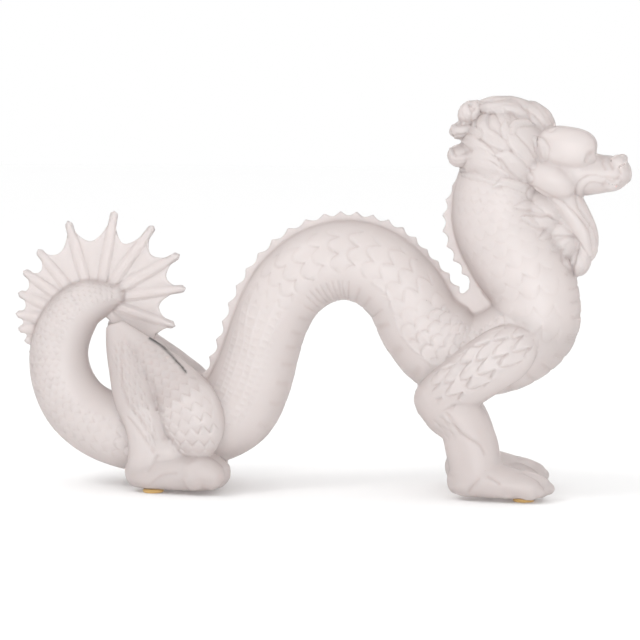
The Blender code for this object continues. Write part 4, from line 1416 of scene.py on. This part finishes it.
def pad_material():
    """Slightly see-through amber soft plastic with a faint mottle."""
    material, tree, shader = new_material("amber pad")
    shader.inputs["Roughness"].default_value = PAD_ROUGHNESS
    shader.inputs["Transmission Weight"].default_value = PAD_TRANSMISSION
    grain = tree.nodes.new("ShaderNodeGroup")
    grain.node_tree = bpy.data.node_groups["etched_grain"]
    grain.inputs["Scale"].default_value = PAD_GRAIN_SCALE
    colour = mixed(tree, grain.outputs["Patch"], PAD_COLOUR, PAD_LIGHT_COLOUR)
    tree.links.new(colour, shader.inputs["Base Color"])
    tree.links.new(grain.outputs["Normal"], shader.inputs["Normal"])
    return material


amber = pad_material()
for pad in pads:
    pad.data.materials.append(amber)
print("materials", [material.name for material in bpy.data.materials])


# %% [markdown]
# ## Stage, light and camera
#
# A white floor and a soft bright room, with one soft box over the tail and one low in front.

# %% Stage and light
FLOOR_SIZE = 6.0
PAPER_COLOUR = (0.99, 0.99, 0.99, 1.0)
PAPER_ROUGHNESS = 0.9
# The point that the lights and the camera look at
AIM = (0.001, 0.0, 0.0825)
# The soft boxes: name, place, size in metres and power in watts
SOFT_BOXES = (
    ("top left", (-0.65, -0.45, 0.95), 0.35, 2.6),
    ("low front", (0.30, -1.10, 0.10), 0.5, 4.8),
)
TENT_COLOUR = (1.0, 1.0, 1.0, 1.0)
TENT_STRENGTH = 1.0


def floor_material():
    """Plain white paper."""
    material, tree, shader = new_material("white paper")
    shader.inputs["Base Color"].default_value = PAPER_COLOUR
    shader.inputs["Roughness"].default_value = PAPER_ROUGHNESS
    return material


floor_mesh = bpy.data.meshes.new("floor")
half = 0.5 * FLOOR_SIZE
floor_mesh.from_pydata(
    [(-half, -half, 0.0), (half, -half, 0.0), (half, half, 0.0), (-half, half, 0.0)],
    [], [(0, 1, 2, 3)])
floor_mesh.materials.append(floor_material())
floor = linked("floor", floor_mesh)


def soft_box(name, place, size, power):
    """Square soft light at a place, turned towards the figure."""
    data = bpy.data.lights.new(name, "AREA")
    data.size = size
    data.energy = power
    light = linked(name, data)
    light.location = place
    light.rotation_euler = (Vector(AIM) - Vector(place)).to_track_quat("-Z", "Y").to_euler()


for box in SOFT_BOXES:
    soft_box(*box)

world = bpy.data.worlds.new("light tent")
world.use_nodes = True
tent = world.node_tree.nodes["Background"]
tent.inputs["Color"].default_value = TENT_COLOUR
tent.inputs["Strength"].default_value = TENT_STRENGTH
bpy.context.scene.world = world


# %% [markdown]
# The camera stands 8 degrees round towards the head and 6 degrees above the figure, 1.4 m away.

# %% Camera
CAMERA_AZIMUTH = np.radians(8.0)
CAMERA_ELEVATION = np.radians(6.0)
CAMERA_DISTANCE = 1.4
CAMERA_LENS = 163.0
CAMERA_SENSOR = 36.0
CAMERA_FAR_LIMIT = 20.0
PICTURE_SIZE = 640

scene = bpy.context.scene
direction = Vector((
    np.sin(CAMERA_AZIMUTH) * np.cos(CAMERA_ELEVATION),
    -np.cos(CAMERA_AZIMUTH) * np.cos(CAMERA_ELEVATION),
    np.sin(CAMERA_ELEVATION)))
camera_data = bpy.data.cameras.new("camera")
camera_data.lens = CAMERA_LENS
camera_data.sensor_width = CAMERA_SENSOR
camera_data.clip_end = CAMERA_FAR_LIMIT
camera = linked("camera", camera_data)
camera.location = Vector(AIM) + direction * CAMERA_DISTANCE
camera.rotation_euler = (-direction).to_track_quat("-Z", "Y").to_euler()
scene.camera = camera
scene.render.resolution_x = PICTURE_SIZE
scene.render.resolution_y = PICTURE_SIZE
scene.view_settings.view_transform = "Standard"
scene.view_settings.look = "None"
